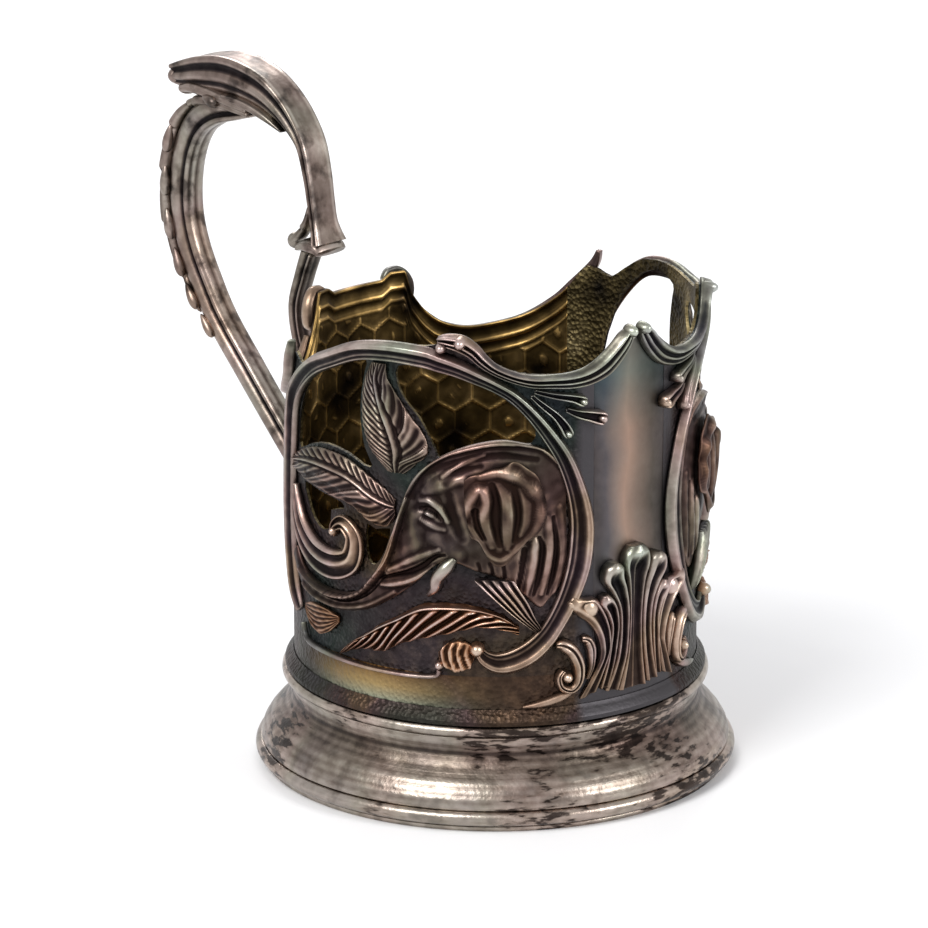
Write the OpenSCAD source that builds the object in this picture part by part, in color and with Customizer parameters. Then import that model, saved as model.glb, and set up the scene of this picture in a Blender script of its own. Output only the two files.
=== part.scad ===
// Podstakannik: a tea glass holder in oxidised silver, as an assembly of cast, spun and chased pieces.
// Millimetres. The origin is the middle of the face that the glass rests on, the sleeve axis is Z,
// and the handle stands at -X.

/* [Sleeve] */
// Inside radius of the sleeve that holds the glass
sleeve_in_r = 34.6; // [32:0.2:38]
// Thickness of the sleeve sheet
sheet_t = 0.8; // [0.6:0.1:1.2]
// Height of the sleeve from its step ring to the tallest frame
sleeve_h = 66; // [58:1:74]
// Height of the plain band under the medallions
band_h = 7; // [6:0.5:8]
// How far the tallest relief stands out from the sheet
relief_h = 1.9; // [1.2:0.1:2.6]
// How far the ear stands out from the head
ear_h = 1.3; // [0.8:0.1:1.8]
// How much higher the far shoulder of the right medallion is than that of the left
right_shoulder_rise = 4.8; // [0:0.2:5]

/* [Foot] */
// Radius of the wire rim round the foot, to the middle of the wire
foot_rim_r = 41.05; // [40:0.1:43]
// Thickness of the foot rim wire
foot_wire_d = 2.6; // [2:0.1:3]
// Height of the foot skirt's lower edge over the table
skirt_z = 3.85; // [3.6:0.05:4.4]
// Height of the foot skirt
skirt_h = 11.35; // [10:0.05:13]
// Wall of the spun foot skirt
skirt_t = 1; // [0.8:0.1:1.4]
// Height of the lip that the foot stands on
lip_h = 0.95; // [0.7:0.05:1]
// Thickness of the collar bead wire
collar_wire_d = 2; // [1.6:0.1:2.2]
// Height of the step ring between collar bead and sleeve
step_h = 2.6; // [2:0.1:3]
// Thickness of the floor plate under the glass
floor_t = 0.8; // [0.6:0.1:1.2]
// Height of the low seat for the glass, pressed up in the floor plate
rest_rise = 0.1; // [0.05:0.05:0.1]

/* [Handle] */
// Distance from the sleeve axis to the far side of the handle's core
handle_reach = 81.8; // [78:0.2:86]
// Height of the middle of the handle's crest over the table
crest_z = 111.3; // [106:0.5:116]
// Width of the crest's polished top
crest_w = 6.5; // [5:0.1:8]
// Thickness of the crest at its middle
crest_t = 6.2; // [5:0.1:6.4]
// Width of the lower limb
limb_w = 4.4; // [3.6:0.1:5.2]
// Thickness of the limb at its belly
limb_t = 5; // [4:0.1:5.2]
// Width of the thumb rest
thumb_w = 9; // [7:0.1:10]
// Width of the strip that backs the sleeve's seam
seam_w = 6; // [5:0.5:8]
// Thickness of the strip that backs the seam
seam_t = 0.6; // [0.4:0.1:0.8]

/* [Fits] */
// Gap left for solder between seated pieces
solder_gap = 0.15; // [0.1:0.05:0.2]

/* [Hidden] */

// Resolution of turned surfaces
$fn = 96;
// Overrun of every cut past the face that it goes through
overrun = 1;

// Radii of the sheet and of the seat that relief pieces are soldered on
sleeve_out_r = sleeve_in_r + sheet_t;
seat_r = sleeve_out_r + solder_gap;
// Heights of the foot and sleeve, from the table up
skirt_top_z = skirt_z + skirt_h;
collar_z = skirt_top_z + solder_gap + collar_wire_d / 2;
step_z = collar_z + collar_wire_d / 2 + solder_gap;
step_rise_share = 0.58;
sleeve_z = step_z + step_h * step_rise_share;
band_top_z = sleeve_z + band_h;
band_bottom_z = skirt_top_z + floor_t + solder_gap;
// Face that the glass rests on: its height over the table, and its radius inside the bore
rest_z = skirt_top_z + floor_t + rest_rise;
rest_r = sleeve_in_r - 2 * solder_gap;
// The chased ornament is laid out on a grid: heights and widths in 66ths of the sleeve height,
// angles in degrees from the middle of the cartouche
grid_steps = 66;
step = sleeve_h / grid_steps;

// The cartouche stands a little off the handle's plane
front_turn = -4;
// Outer edge of a medallion frame beside the cartouche, and how far each side is drawn out
near_angle = 13;
left_spread = 1;
right_spread = 0.93;
// Where the medallion plates end and the rear panel begins
plate_end = 125;
// The rear volutes stand this many degrees from the handle's plane
rear_volute_angle = 15.5;
rear_angle = 180;

function spread(side) = side < 0 ? left_spread : right_spread;
function chart_angle(side, b) =
    front_turn + side * (b <= near_angle ? b : near_angle + (b - near_angle) * spread(side));
function ease(u) = let (v = min(1, max(0, u))) v * v * (3 - 2 * v);
shoulder_from = 70;
shoulder_run = 28;
lift_from = 42;
lift_run = 16;
function shoulder(side, b, t) =
    side < 0 ? 0 : ease((b - shoulder_from) / shoulder_run) * ease((t - lift_from) / lift_run);
function chart_z(side, b, t) = sleeve_z + t * step + right_shoulder_rise * shoulder(side, b, t);

// Arc length on the seat for an angle, and back
function arc_of(angle) = angle * PI / 180 * seat_r;
function angle_of(arc) = arc / seat_r * 180 / PI;
function on_sleeve(arc, z, r) = [r * cos(angle_of(arc)), r * sin(angle_of(arc)), z];

// A smooth curve through rows of values, with a number of parts between two rows
function between(rows, i, u) =
    let (
        n = len(rows),
        a = rows[max(i - 1, 0)],
        b = rows[i],
        c = rows[i + 1],
        d = rows[min(i + 2, n - 1)]
    )
    (2 * b + (c - a) * u + (2 * a - 5 * b + 4 * c - d) * u * u + (3 * b - a - 3 * c + d) * u * u * u) / 2;
function smooth(rows, parts) = [
    for (i = [0:len(rows) - 2]) for (k = [0:parts - 1]) between(rows, i, k / parts),
    rows[len(rows) - 1]
];

function mean(points) = [for (axis = [0:2]) sum([for (p = points) p[axis]]) / len(points)];
function sum(values, i = 0) = i < len(values) ? values[i] + sum(values, i + 1) : 0;
function unit(v) = v / norm(v);
// Direction along a path of rows, and the one square to it
function along(rows, i) =
    let (q = rows[min(i + 1, len(rows) - 1)], o = rows[max(i - 1, 0)])
    unit([q[0] - o[0], q[1] - o[1]]);
function square_to(v) = [-v[1], v[0]];

// A closed solid through rings of points, each end drawn to a low point
tip_share = 0.35;
module lofted(rings, flip = false) {
    n = len(rings);
    k = len(rings[0]);
    first = mean(rings[0]);
    last = mean(rings[n - 1]);
    points = [
        for (ring = rings) each ring,
        first + (first - mean(rings[1])) * tip_share,
        last + (last - mean(rings[n - 2])) * tip_share
    ];
    skin = [
        for (i = [0:n - 2]) for (j = [0:k - 1])
            let (a = i * k + j, b = i * k + (j + 1) % k, c = a + k, d = b + k)
            each [[a, b, d], [a, d, c]]
    ];
    caps = [
        for (j = [0:k - 1])
            let (m = (j + 1) % k)
            each [[n * k, m, j], [n * k + 1, (n - 1) * k + j, (n - 1) * k + m]]
    ];
    faces = concat(skin, caps);
    polyhedron(points, flip ? [for (f = faces) [f[2], f[1], f[0]]] : faces);
}

// Cross sections: place across from -1 to 1, and share of the height there
round_shares = [[-1, 0.3], [-0.6, 0.82], [0, 1], [0.6, 0.82], [1, 0.3]];
leaf_shares = [[-1, 0.25], [-0.55, 0.8], [0, 0.5], [0.55, 0.85], [1, 0.25]];
moulding_shares = [
    [-1, 0.4], [-0.72, 0.85], [-0.42, 0.5], [-0.1, 0.75], [0.2, 0.5], [0.6, 1], [0.9, 0.8], [1, 0.35]
];
function mirrored(section) = [for (i = [len(section) - 1:-1:0]) [-section[i][0], section[i][1]]];
plateau_shares = [[-1, 0.35], [-0.9, 0.8], [-0.78, 1], [0, 1], [0.78, 1], [0.9, 0.8], [1, 0.35]];
ear_shares = [[-1, 0.5], [-0.8, 1], [-0.45, 0.35], [-0.1, 0.65], [0.25, 0.35], [0.75, 1], [1, 0.5]];

// One ring of a relief piece: from the left edge to the right edge over the front, then back
// under it along the seat
function relief_ring(left, right, rise, section, seat, bulge) =
    let (
        middle = (left + right) / 2,
        half = (right - left) / 2,
        at = function (c) middle + half * c + [arc_of(bulge) * (1 - c * c), 0]
    )
    concat(
        [for (s = section) let (p = at(s[0])) on_sleeve(p[0], p[1], seat + rise * s[1])],
        [for (c = [1, 0, -1]) let (p = at(c)) on_sleeve(p[0], p[1], seat)]
    );

// A patch between two edges. Rows: angle and height of one edge, of the other, share of the
// relief height, and degrees that the middle is pushed along
module patch(side, rows, section, rise = relief_h, seat = seat_r, parts = 2) {
    placed = [
        for (row = rows) [
            arc_of(chart_angle(side, row[0])), chart_z(side, row[0], row[1]),
            arc_of(chart_angle(side, row[2])), chart_z(side, row[2], row[3]),
            row[4], side * (len(row) > 5 ? row[5] : 0)
        ]
    ];
    lofted([
        for (p = smooth(placed, parts))
            relief_ring([p[0], p[1]], [p[2], p[3]], p[4] * rise, section, seat, p[5])
    ], side < 0);
}

// A moulding along a path. Rows: arc, height, width and share of the relief height
module moulding(rows, section, rise = relief_h, seat = seat_r, parts = 2, flip = false) {
    fine = smooth(rows, parts);
    lofted([
        for (i = [0:len(fine) - 1])
            let (
                p = fine[i],
                across = square_to(along(fine, i)) * p[2] / 2,
                here = [p[0], p[1]]
            )
            relief_ring(here + across, here - across, p[3] * rise, section, seat, 0)
    ], flip);
}

// The same along a path on the medallion chart: angle, height, width, share of the relief height
module trail(side, rows, section, rise = relief_h, seat = seat_r, parts = 2) {
    moulding([
        for (row = rows)
            [arc_of(chart_angle(side, row[0])), chart_z(side, row[0], row[1]), row[2] * step, row[3]]
    ], side < 0 ? section : mirrored(section), rise, seat, parts, true);
}

// Foot and collar

// Outline of the skirt: share of its flare, share of its height
skirt_shares = [
    [0.1, 1], [0.03, 0.85], [0, 0.72], [0.13, 0.6], [0.36, 0.48], [0.6, 0.38], [0.78, 0.28],
    [0.91, 0.18], [0.98, 0.09], [1, 0]
];
skirt_neck_r = sleeve_out_r + 0.5 * sheet_t;
skirt_foot_r = foot_rim_r + 0.1 * foot_wire_d;
skirt_flange_r = foot_rim_r - foot_wire_d / 2 - solder_gap - skirt_t;
module foot_skirt() {
    flare = skirt_foot_r - skirt_neck_r;
    outer = [for (s = skirt_shares) [skirt_neck_r + s[0] * flare, skirt_z + s[1] * skirt_h]];
    inner = [
        for (i = [len(skirt_shares) - 2:-1:1])
            [skirt_neck_r + skirt_shares[i][0] * flare - skirt_t, skirt_z + skirt_shares[i][1] * skirt_h]
    ];
    color("silver")
    rotate_extrude()
    polygon(concat(
        outer,
        [[skirt_flange_r, skirt_z], [skirt_flange_r, skirt_z + skirt_t]],
        inner,
        [[skirt_neck_r - skirt_t, skirt_top_z - skirt_t],
         [sleeve_in_r - 2 * skirt_t, skirt_top_z - skirt_t],
         [sleeve_in_r - 2 * skirt_t, skirt_top_z]]
    ));
}

module foot_rim_wire() {
    color("silver")
    translate([0, 0, lip_h + solder_gap + foot_wire_d / 2])
    rotate_extrude()
    translate([foot_rim_r, 0])
    circle(d = foot_wire_d);
}

module foot_rest_ring() {
    wall_r = foot_rim_r - foot_wire_d / 2 - solder_gap;
    color("dimgray")
    difference() {
        union() {
            cylinder(r = foot_rim_r - solder_gap, h = lip_h);
            cylinder(r = wall_r, h = skirt_z - solder_gap);
        }
        translate([0, 0, -overrun])
        cylinder(r = wall_r - skirt_t, h = skirt_z + 2 * overrun);
    }
}

module collar_bead() {
    color("silver")
    translate([0, 0, collar_z])
    rotate_extrude()
    translate([seat_r + collar_wire_d / 2, 0])
    circle(d = collar_wire_d);
}

// Outline of the step ring: share of the bead's width, share of the ring's height
step_shares = [[0, 0], [0.72, 0], [0.7, 0.28], [0.42, 0.58], [0.16, 0.8], [0, 1]];
module step_ring() {
    color("slategray")
    rotate_extrude()
    polygon([for (s = step_shares) [seat_r + s[0] * collar_wire_d, step_z + s[1] * step_h]]);
}

module floor_plate() {
    color("goldenrod")
    translate([0, 0, skirt_top_z]) {
        cylinder(r = sleeve_out_r, h = floor_t);
        cylinder(r = rest_r, h = floor_t + rest_rise);
    }
}

// Sleeve sheet

module tube(bottom, top) {
    translate([0, 0, bottom])
    difference() {
        cylinder(r = sleeve_out_r, h = top - bottom);
        translate([0, 0, -overrun])
        cylinder(r = sleeve_in_r, h = top - bottom + 2 * overrun);
    }
}

// A wedge between two angles that holds one part of the sheet
module wedge(from, to, top) {
    reach = 2 * sleeve_out_r;
    middle = (from + to) / 2;
    linear_extrude(height = top)
    polygon([
        [0, 0], reach * [cos(from), sin(from)], reach * [cos(middle), sin(middle)],
        reach * [cos(to), sin(to)]
    ]);
}

// An outline of angles and heights, cut square through the sheet from its middle angle
module cutter(outline, middle) {
    rotate([0, 0, middle])
    rotate([90, 0, 90])
    linear_extrude(height = 2 * sleeve_out_r)
    polygon([for (p = outline) [sleeve_out_r * sin(p[0] - middle), p[1]]]);
}

// Top edge of the sheet: degrees from the cartouche, height in grid steps
front_rim_shares = [
    [0, 64.6], [3, 65.4], [6, 63.8], [10, 61.8], [15, 60.4], [22, 60], [30, 60.2], [36, 60.8],
    [41, 62.1], [46, 64], [50, 66], [54, 66.6], [58, 65.2], [64, 64.8], [72, 64.9], [84, 63.2],
    [95, 60.3], [103, 57.6], [108, 55.8], [112, 56], [117, 56.8], [121, 54.6], [125, 52.4]
];
// Rear swag: share of the way from the medallion's tip to the rear volute, height in grid steps
rear_rim_shares = [
    [0, 57.2], [0.1, 54.6], [0.2, 52.2], [0.35, 49.9], [0.5, 49], [0.68, 48.8], [0.82, 50.2],
    [0.92, 52.8], [1, 56.4]
];
tip_angle_chart = 117;
function rear_angle_at(side, share) =
    let (
        from = chart_angle(side, tip_angle_chart),
        to = side * (rear_angle - rear_volute_angle - volute_half_angle)
    )
    from + (to - from) * share;
volute_half_angle = 4;
function rear_z_at(side, share, t) =
    sleeve_z + t * step + (side < 0 ? 0 : right_shoulder_rise * pow(1 - min(1, share), 2));

module medallion_plate(side) {
    start = chart_angle(side, near_angle);
    end = chart_angle(side, plate_end);
    middle = (start + end) / 2;
    rim = smooth([for (s = front_rim_shares) [chart_angle(side, s[0]), chart_z(side, s[0], s[1])]], 2);
    inside = [for (p = rim) if (side * (p[0] - start) >= -overrun && side * (p[0] - end) <= overrun) p];
    difference() {
        intersection() {
            tube(band_top_z, sleeve_z + sleeve_h + right_shoulder_rise + overrun);
            wedge(start, end, 2 * sleeve_h);
            cutter(concat(
                inside,
                [[end + side * overrun, sleeve_z], [start - side * overrun, sleeve_z]]
            ), middle);
        }
        for (hole = opening_shares)
            cutter([
                for (p = smooth_loop(hole)) [chart_angle(side, p[0]), chart_z(side, p[0], p[1])]
            ], middle);
    }
}

function smooth_loop(points) = let (n = len(points)) [
    for (i = [0:n - 1]) for (k = [0:1])
        between([for (m = [-1:2]) points[(i + m + n) % n]], 1, k / 2)
];

// Pierced openings of a medallion: over the head, left of the upright leaf, inside the wave
// scroll, and between that and the trunk
opening_shares = [
    [[56, 45.3], [51, 46.9], [45, 48], [38, 48.5], [31.5, 48.2], [30, 51], [35, 54.6], [43, 58],
     [52, 60.4], [61, 61.2], [68.5, 61], [69, 58], [66.5, 55], [62.5, 52.3], [60, 49.6], [58, 47]],
    [[77, 42.6], [79.6, 45.5], [81, 50], [80.8, 54.6], [79.4, 59], [79, 61.2], [86, 60.8],
     [96, 57.6], [105, 53.4], [111, 48], [113.4, 42.6], [112.6, 40.4], [104, 42.6], [95, 44],
     [86, 43.6], [80, 42.2]],
    [[108.6, 35.2], [106.8, 32], [103, 29.4], [98, 28.2], [93.6, 29.4], [93.4, 32.4], [88, 33.4],
     [89, 34.6], [98, 35]],
    [[71.2, 32], [76, 31.4], [79, 32], [79.4, 28.4], [78.6, 25.6], [76.6, 24.9], [74, 26.6], [72, 29.4]]
];

// The panel's rim is drawn this many degrees past its edges before it is cut
panel_margin = 3;
module cartouche_panel() {
    start = chart_angle(-1, near_angle);
    end = chart_angle(1, near_angle);
    past = near_angle + panel_margin;
    half = [for (s = front_rim_shares) if (s[0] <= past) s];
    rim = concat(
        [
            for (i = [len(half) - 1:-1:1])
                [chart_angle(-1, half[i][0]), chart_z(-1, half[i][0], half[i][1])]
        ],
        [for (s = half) [chart_angle(1, s[0]), chart_z(1, s[0], s[1])]]
    );
    color("lightslategray")
    intersection() {
        tube(band_top_z, sleeve_z + sleeve_h + overrun);
        wedge(start, end, 2 * sleeve_h);
        cutter(concat(
            smooth(rim, 2),
            [[chart_angle(1, past), sleeve_z], [chart_angle(-1, past), sleeve_z]]
        ), front_turn);
    }
}

module sleeve_band() {
    color("darkslategray")
    tube(band_bottom_z, band_top_z);
}

// Top of the rear wall between its volutes, in grid steps
rear_wall_share = 59.4;
rear_peak_share = 60.6;
module rear_panel() {
    start = chart_angle(1, plate_end);
    end = chart_angle(-1, plate_end) + 2 * rear_angle;
    middle = (start + end) / 2;
    swag = function (side) smooth([
        for (s = rear_rim_shares) [rear_angle_at(side, s[0]), rear_z_at(side, s[0], s[1])]
    ], 2);
    right = [for (p = swag(1)) p];
    left = [for (p = swag(-1)) [p[0] + 2 * rear_angle, p[1]]];
    crown = [
        for (s = [[-1, rear_peak_share], [-0.72, rear_peak_share], [-0.55, rear_wall_share],
                  [0, rear_wall_share], [0.55, rear_wall_share], [0.72, rear_peak_share],
                  [1, rear_peak_share]])
            [rear_angle + s[0] * (rear_volute_angle + volute_half_angle / 2), sleeve_z + s[1] * step]
    ];
    color("darkkhaki")
    intersection() {
        tube(band_top_z, sleeve_z + sleeve_h);
        wedge(start, end, 2 * sleeve_h);
        cutter(concat(
            right, crown, [for (i = [len(left) - 1:-1:0]) left[i]],
            [[end + overrun, sleeve_z], [start - overrun, sleeve_z]]
        ), middle);
    }
}

module seam_strip() {
    half = angle_of(seam_w / 2);
    color("gray")
    intersection() {
        translate([0, 0, band_top_z])
        difference() {
            cylinder(r = seat_r + seam_t, h = rear_wall_share * step - band_h - 2 * step);
            translate([0, 0, -overrun])
            cylinder(r = seat_r, h = sleeve_h);
        }
        wedge(rear_angle - half, rear_angle + half, 2 * sleeve_h);
    }
}

// Medallion ornament. Rows hold degrees from the cartouche and grid steps

frame_shares = [
    [45.8, 12.3, 1.6, 0.7], [43.9, 10.6, 2.8, 0.8], [40.5, 9.6, 3.8, 0.8], [36.4, 9.9, 4.2, 0.85],
    [31.7, 11.3, 4.3, 0.85], [27.6, 13.6, 4, 0.9], [24.2, 16.6, 3.8, 0.9], [20.6, 21, 4.2, 0.95],
    [17.9, 26, 4.8, 1], [16.9, 31, 4.8, 1], [17.2, 35.5, 4.4, 1], [19.1, 40.5, 3.7, 1],
    [22.2, 45.5, 3.3, 1], [26.4, 49.8, 2.9, 1], [31, 53.6, 2.5, 1], [36, 56.8, 2.3, 1],
    [41, 58.8, 2.4, 1], [46, 60.3, 2.8, 1], [51, 61.6, 3.2, 1], [56, 62.5, 3.6, 1],
    [61, 63.2, 3.9, 1], [71, 63.4, 3.7, 1], [81, 62.5, 3.4, 1], [91, 60, 3.3, 1], [101, 57, 3.4, 1],
    [110.2, 52.4, 3.5, 1], [115, 48.3, 3.8, 1], [117.6, 41.5, 4.1, 1], [119.2, 33, 4.2, 1],
    [119.4, 27, 4.2, 1], [118.4, 21, 4, 0.95], [115.5, 15, 3.6, 0.85], [111.6, 11.4, 2.4, 0.6]
];
frame_curl_shares = [
    [46.8, 10.3, 3.2, 0.6], [49.8, 10.9, 5.2, 0.9], [53.2, 10.8, 4.6, 0.9], [56.4, 10.4, 1.6, 0.5]
];
head_shares = [
    [27.5, 47, 24.5, 21, 0.5, -2.6], [33, 48.9, 27.5, 18.9, 0.9, -2.4], [39, 49.2, 33, 21.5, 0.9, -1],
    [45, 48.7, 40, 24.8, 0.9, 0], [51, 47.5, 46, 26, 0.9, 0], [57, 45.5, 51.6, 27.3, 0.9, 0],
    [62.5, 42.5, 57, 26.8, 0.9, 0], [66, 38, 62.4, 23.6, 0.85, 0], [68.5, 32, 67.6, 20.9, 0.85, 0],
    [72, 27, 72, 19, 0.85, 0], [76, 23, 77, 17.2, 0.9, 0], [81, 20, 83, 16, 0.9, 0],
    [89, 18.6, 91, 15.3, 0.85, 0], [99, 18.7, 101, 15.6, 0.8, 0], [108, 19.9, 109.6, 17, 0.7, 0],
    [113.6, 22.6, 115.6, 20.2, 0.6, 0]
];
ear_rows_shares = [
    [49, 42.5, 49, 39, 0.6], [47.5, 43.3, 47.5, 33, 0.9], [45, 43.8, 45, 31.8, 1],
    [42, 44.6, 42, 28.2, 1], [39, 45, 39, 27.6, 1], [36, 46, 36, 29.5, 1],
    [33, 44.8, 33, 32, 1], [30, 43, 30, 33, 0.9], [27.9, 39, 27.9, 35.5, 0.6]
];
tusk_shares = [
    [54, 25.8, 1, 0.5], [55.9, 24.4, 1.9, 0.9], [57.4, 22.8, 1.7, 0.8], [58.4, 21.3, 0.8, 0.4]
];
wave_scroll_shares = [
    [114, 33.8, 1.4, 0.6], [112.6, 31, 3.8, 0.8], [108.4, 26.9, 5.1, 0.9], [100, 23.9, 5.4, 1],
    [91, 23.2, 5.4, 1], [84, 25, 4.6, 0.95], [82.6, 29, 3.6, 0.85], [86.6, 31.3, 2.8, 0.8],
    [90.4, 30.2, 2, 0.7], [91.2, 28.4, 1.1, 0.6]
];
upright_leaf_shares = [
    [76.5, 61, 72, 61, 0.5], [78.5, 58.5, 71.4, 58.5, 0.7], [79.5, 55.5, 68.2, 55.5, 0.9],
    [79.8, 52.5, 64.4, 52.5, 1], [79.5, 50, 61.2, 50, 1], [78.5, 47.6, 59.5, 47.6, 0.95],
    [77, 45.7, 60, 45.7, 0.9], [74.5, 44, 63.2, 44, 0.7], [71.6, 42.3, 66, 42.3, 0.5]
];
side_leaf_shares = [
    [119, 38, 119, 36.5, 0.5], [113, 39.7, 113, 36.2, 0.7], [106, 41.6, 106, 36, 0.85],
    [99, 42.9, 99, 35.7, 1], [92, 43.2, 92, 35.4, 1], [86, 42.9, 86, 35, 1], [81, 41.8, 81, 34, 0.95],
    [76, 40.2, 76, 32.4, 0.9], [72, 38.8, 72, 32.4, 0.7], [69.2, 37.4, 69.2, 34, 0.5]
];
acanthus_shares = [
    [88, 8, 88, 7.6, 0.4], [83, 10.8, 83, 9, 0.7], [78, 12.8, 78, 9.8, 0.9], [73, 15.2, 73, 10, 1],
    [68, 17, 68, 11.8, 1], [61, 19.6, 61, 13.4, 1], [53, 20.2, 53, 14.8, 1], [46, 19.8, 46, 16, 0.9],
    [39.5, 18.4, 39.5, 15.6, 0.75], [34.6, 16.2, 34.6, 14.6, 0.5]
];
quill_shares = [
    [43.6, 24, 1.2, 0.6], [40.2, 22.6, 2.6, 0.8], [36, 20.2, 3.2, 0.8], [32.4, 17.8, 2.2, 0.6],
    [30.6, 16.7, 1, 0.4]
];
shell_fan_shares = [
    [107, 13.4, 107, 12.4, 0.4], [103, 14.3, 103, 10.5, 0.7], [98, 14.6, 98, 9.6, 0.9],
    [93, 14.4, 93, 10.8, 0.8], [89.4, 14, 89.4, 12.8, 0.5]
];
band_edge_shares = [
    [108.4, 9.6, 0.9, 0.5], [107.2, 7.7, 0.9, 0.5], [103, 6.7, 0.9, 0.5], [91, 6.5, 0.9, 0.5],
    [76, 6.4, 0.9, 0.5], [63, 6.5, 0.9, 0.5], [57.4, 6.9, 0.9, 0.5], [56.4, 8, 0.9, 0.5]
];
front_swag_shares = [
    [56.4, 66.3, 1.4, 0.8], [53.8, 66.3, 2.4, 1.1], [50.2, 65.9, 3, 1.2], [47, 64.7, 2.7, 1.1],
    [44.3, 63, 2.3, 1], [41, 61.5, 1.9, 1], [36, 60.1, 1.9, 1], [31, 59.3, 2.2, 1],
    [26, 59.1, 2.4, 1], [20, 59, 2.9, 1], [15, 59.5, 3.4, 1], [10.4, 60.8, 3.9, 1],
    [6.4, 63, 3.6, 1.05], [3.8, 65, 3, 1.15], [2.3, 66.2, 1.6, 0.9]
];
// Three fingers run out of the swag, each to a bead
finger_shares = [
    [[30.4, 57.6, 0.8, 0.5], [25.6, 56.8, 1.1, 0.8], [20.4, 56.1, 1.5, 1], [17.4, 55.4, 2, 1.1]],
    [[31.2, 56.8, 0.8, 0.5], [28.4, 55.2, 1.2, 0.8], [25, 53.3, 1.5, 0.9], [22.8, 51.5, 1.9, 1],
     [21.6, 50, 2, 1.1]],
    [[21.6, 54, 0.9, 0.6], [18.6, 53.2, 1.6, 0.8], [14.8, 52.5, 2.2, 0.9], [11.6, 51.9, 2.6, 1.1]]
];

module both_sides_color(side) {
    color(side < 0 ? "lightsteelblue" : "steelblue")
    children();
}

// Rear swag and volute: share of the way or degrees from the handle's plane, grid steps
rear_swag_shares = [
    [-0.035, 59, 1.6, 1.3], [0, 56.6, 2.6, 1.2], [0.1, 53.2, 3.2, 1], [0.2, 50.7, 3.2, 1],
    [0.35, 48.3, 3.2, 1], [0.5, 47.3, 3.2, 1], [0.68, 47.1, 3.2, 1], [0.82, 48.5, 3.1, 1],
    [0.9, 50.6, 2.6, 1], [0.96, 53, 1.8, 0.8]
];
rear_volute_shares = [
    [11.6, 58.9, 1.2, 0.7], [13.6, 60.2, 1.8, 0.9], [16.8, 60, 2, 1], [19.2, 57.8, 2, 1],
    [18.8, 55, 1.9, 1], [16, 54, 1.7, 0.95], [14.2, 55.8, 1.4, 0.9], [15.3, 57.6, 1.1, 0.9]
];
module rear_swag(side) {
    moulding([
        for (s = rear_swag_shares)
            [arc_of(rear_angle_at(side, s[0])), rear_z_at(side, s[0], s[1]), s[2] * step, s[3]]
    ], side < 0 ? moulding_shares : mirrored(moulding_shares), flip = true);
}

module rear_volute(side) {
    moulding([
        for (s = rear_volute_shares)
            [arc_of(side * (rear_angle - s[0])), sleeve_z + s[1] * step, s[2] * step, s[3]]
    ], round_shares, parts = 3, flip = true);
}

// The wall's rim stops short of the volutes, a little under the wall's top
rear_rim_margin = 1.4;
rear_rim_drop_share = 0.9;
rear_rim_width_share = 1.6;
rear_rim_rise_share = 0.55;
module rear_wall_rim() {
    half_turn = rear_volute_angle - volute_half_angle - rear_rim_margin;
    color("khaki")
    moulding([
        for (s = [-1, -0.5, 0, 0.5, 1])
            [
                arc_of(rear_angle + s * half_turn),
                sleeve_z + (rear_wall_share - rear_rim_drop_share) * step,
                rear_rim_width_share * step, rear_rim_rise_share
            ]
    ], round_shares, flip = true);
}

// Palmette lobes of one side: the middle lobe is its own mirror image
palmette_middle_shares = [
    [0, 2.6, 1.1, 0.5], [0, 10, 1.4, 0.8], [0, 18, 2, 0.9], [0, 24, 4.2, 1.1], [0, 27.2, 3, 0.9]
];
palmette_inner_shares = [
    [3.4, 3, 1.2, 0.5], [3.2, 9, 1.7, 0.8], [3.5, 15, 1.8, 0.9], [4.9, 20.5, 2.2, 1],
    [7.1, 24, 2.8, 1.1], [9.4, 24.8, 1.8, 0.7]
];
palmette_outer_shares = [
    [6.8, 3, 1.1, 0.5], [6.5, 8, 1.5, 0.8], [6.7, 13, 1.6, 0.9], [7.7, 17.2, 1.7, 0.9],
    [9.3, 19.8, 1.4, 0.7]
];
palmette_scroll_shares = [
    [19.6, 20.7, 1.4, 0.7], [17.4, 21.3, 2.4, 1], [14.6, 20.4, 2.6, 1.1], [12.6, 17.4, 2.4, 1],
    [11, 14, 2.3, 0.9], [10.4, 10, 2.2, 0.85], [11.2, 6, 2, 0.7], [13.6, 3.2, 1.2, 0.5]
];
palmette_volute_shares = [
    [23, 10.6, 1.4, 0.6], [19.9, 10, 2.2, 0.9], [17.9, 7, 2.2, 1], [19.6, 4.7, 1.9, 1],
    [22.4, 4.9, 1.5, 0.9], [22.9, 6.6, 1.1, 0.8]
];
module palmette() {
    color("silver") {
        trail(-1, palmette_middle_shares, round_shares);
        for (side = [-1, 1]) {
            trail(side, palmette_inner_shares, round_shares);
            trail(side, palmette_outer_shares, round_shares);
        }
    }
}

// Handle, swept in the plane of symmetry. Rows: distance out from the seam strip as a share of
// the way to the handle's far side, height as a share of the crest's height, and thickness and
// width as shares of their sizes

section_shares = [
    [-1, -0.5], [-0.55, -1], [0.55, -1], [1, -0.5], [1, 0.5], [0.55, 1], [-0.55, 1], [-1, 0.5]
];
function handle_rows(rows, thick, wide) =
    let (wall_r = seat_r + seam_t)
    [
        for (row = rows)
            [wall_r + row[0] * (handle_reach - wall_r), row[1] * crest_z, row[2] * thick, row[3] * wide]
    ];

module swept(rows, parts = 3) {
    fine = smooth(rows, parts);
    lofted([
        for (i = [0:len(fine) - 1])
            let (p = fine[i], normal = square_to(along(fine, i)))
            [
                for (s = section_shares)
                    let (q = [p[0], p[1]] + normal * s[0] * p[2] / 2) [-q[0], s[1] * p[3] / 2, q[1]]
            ]
    ], true);
}

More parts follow.
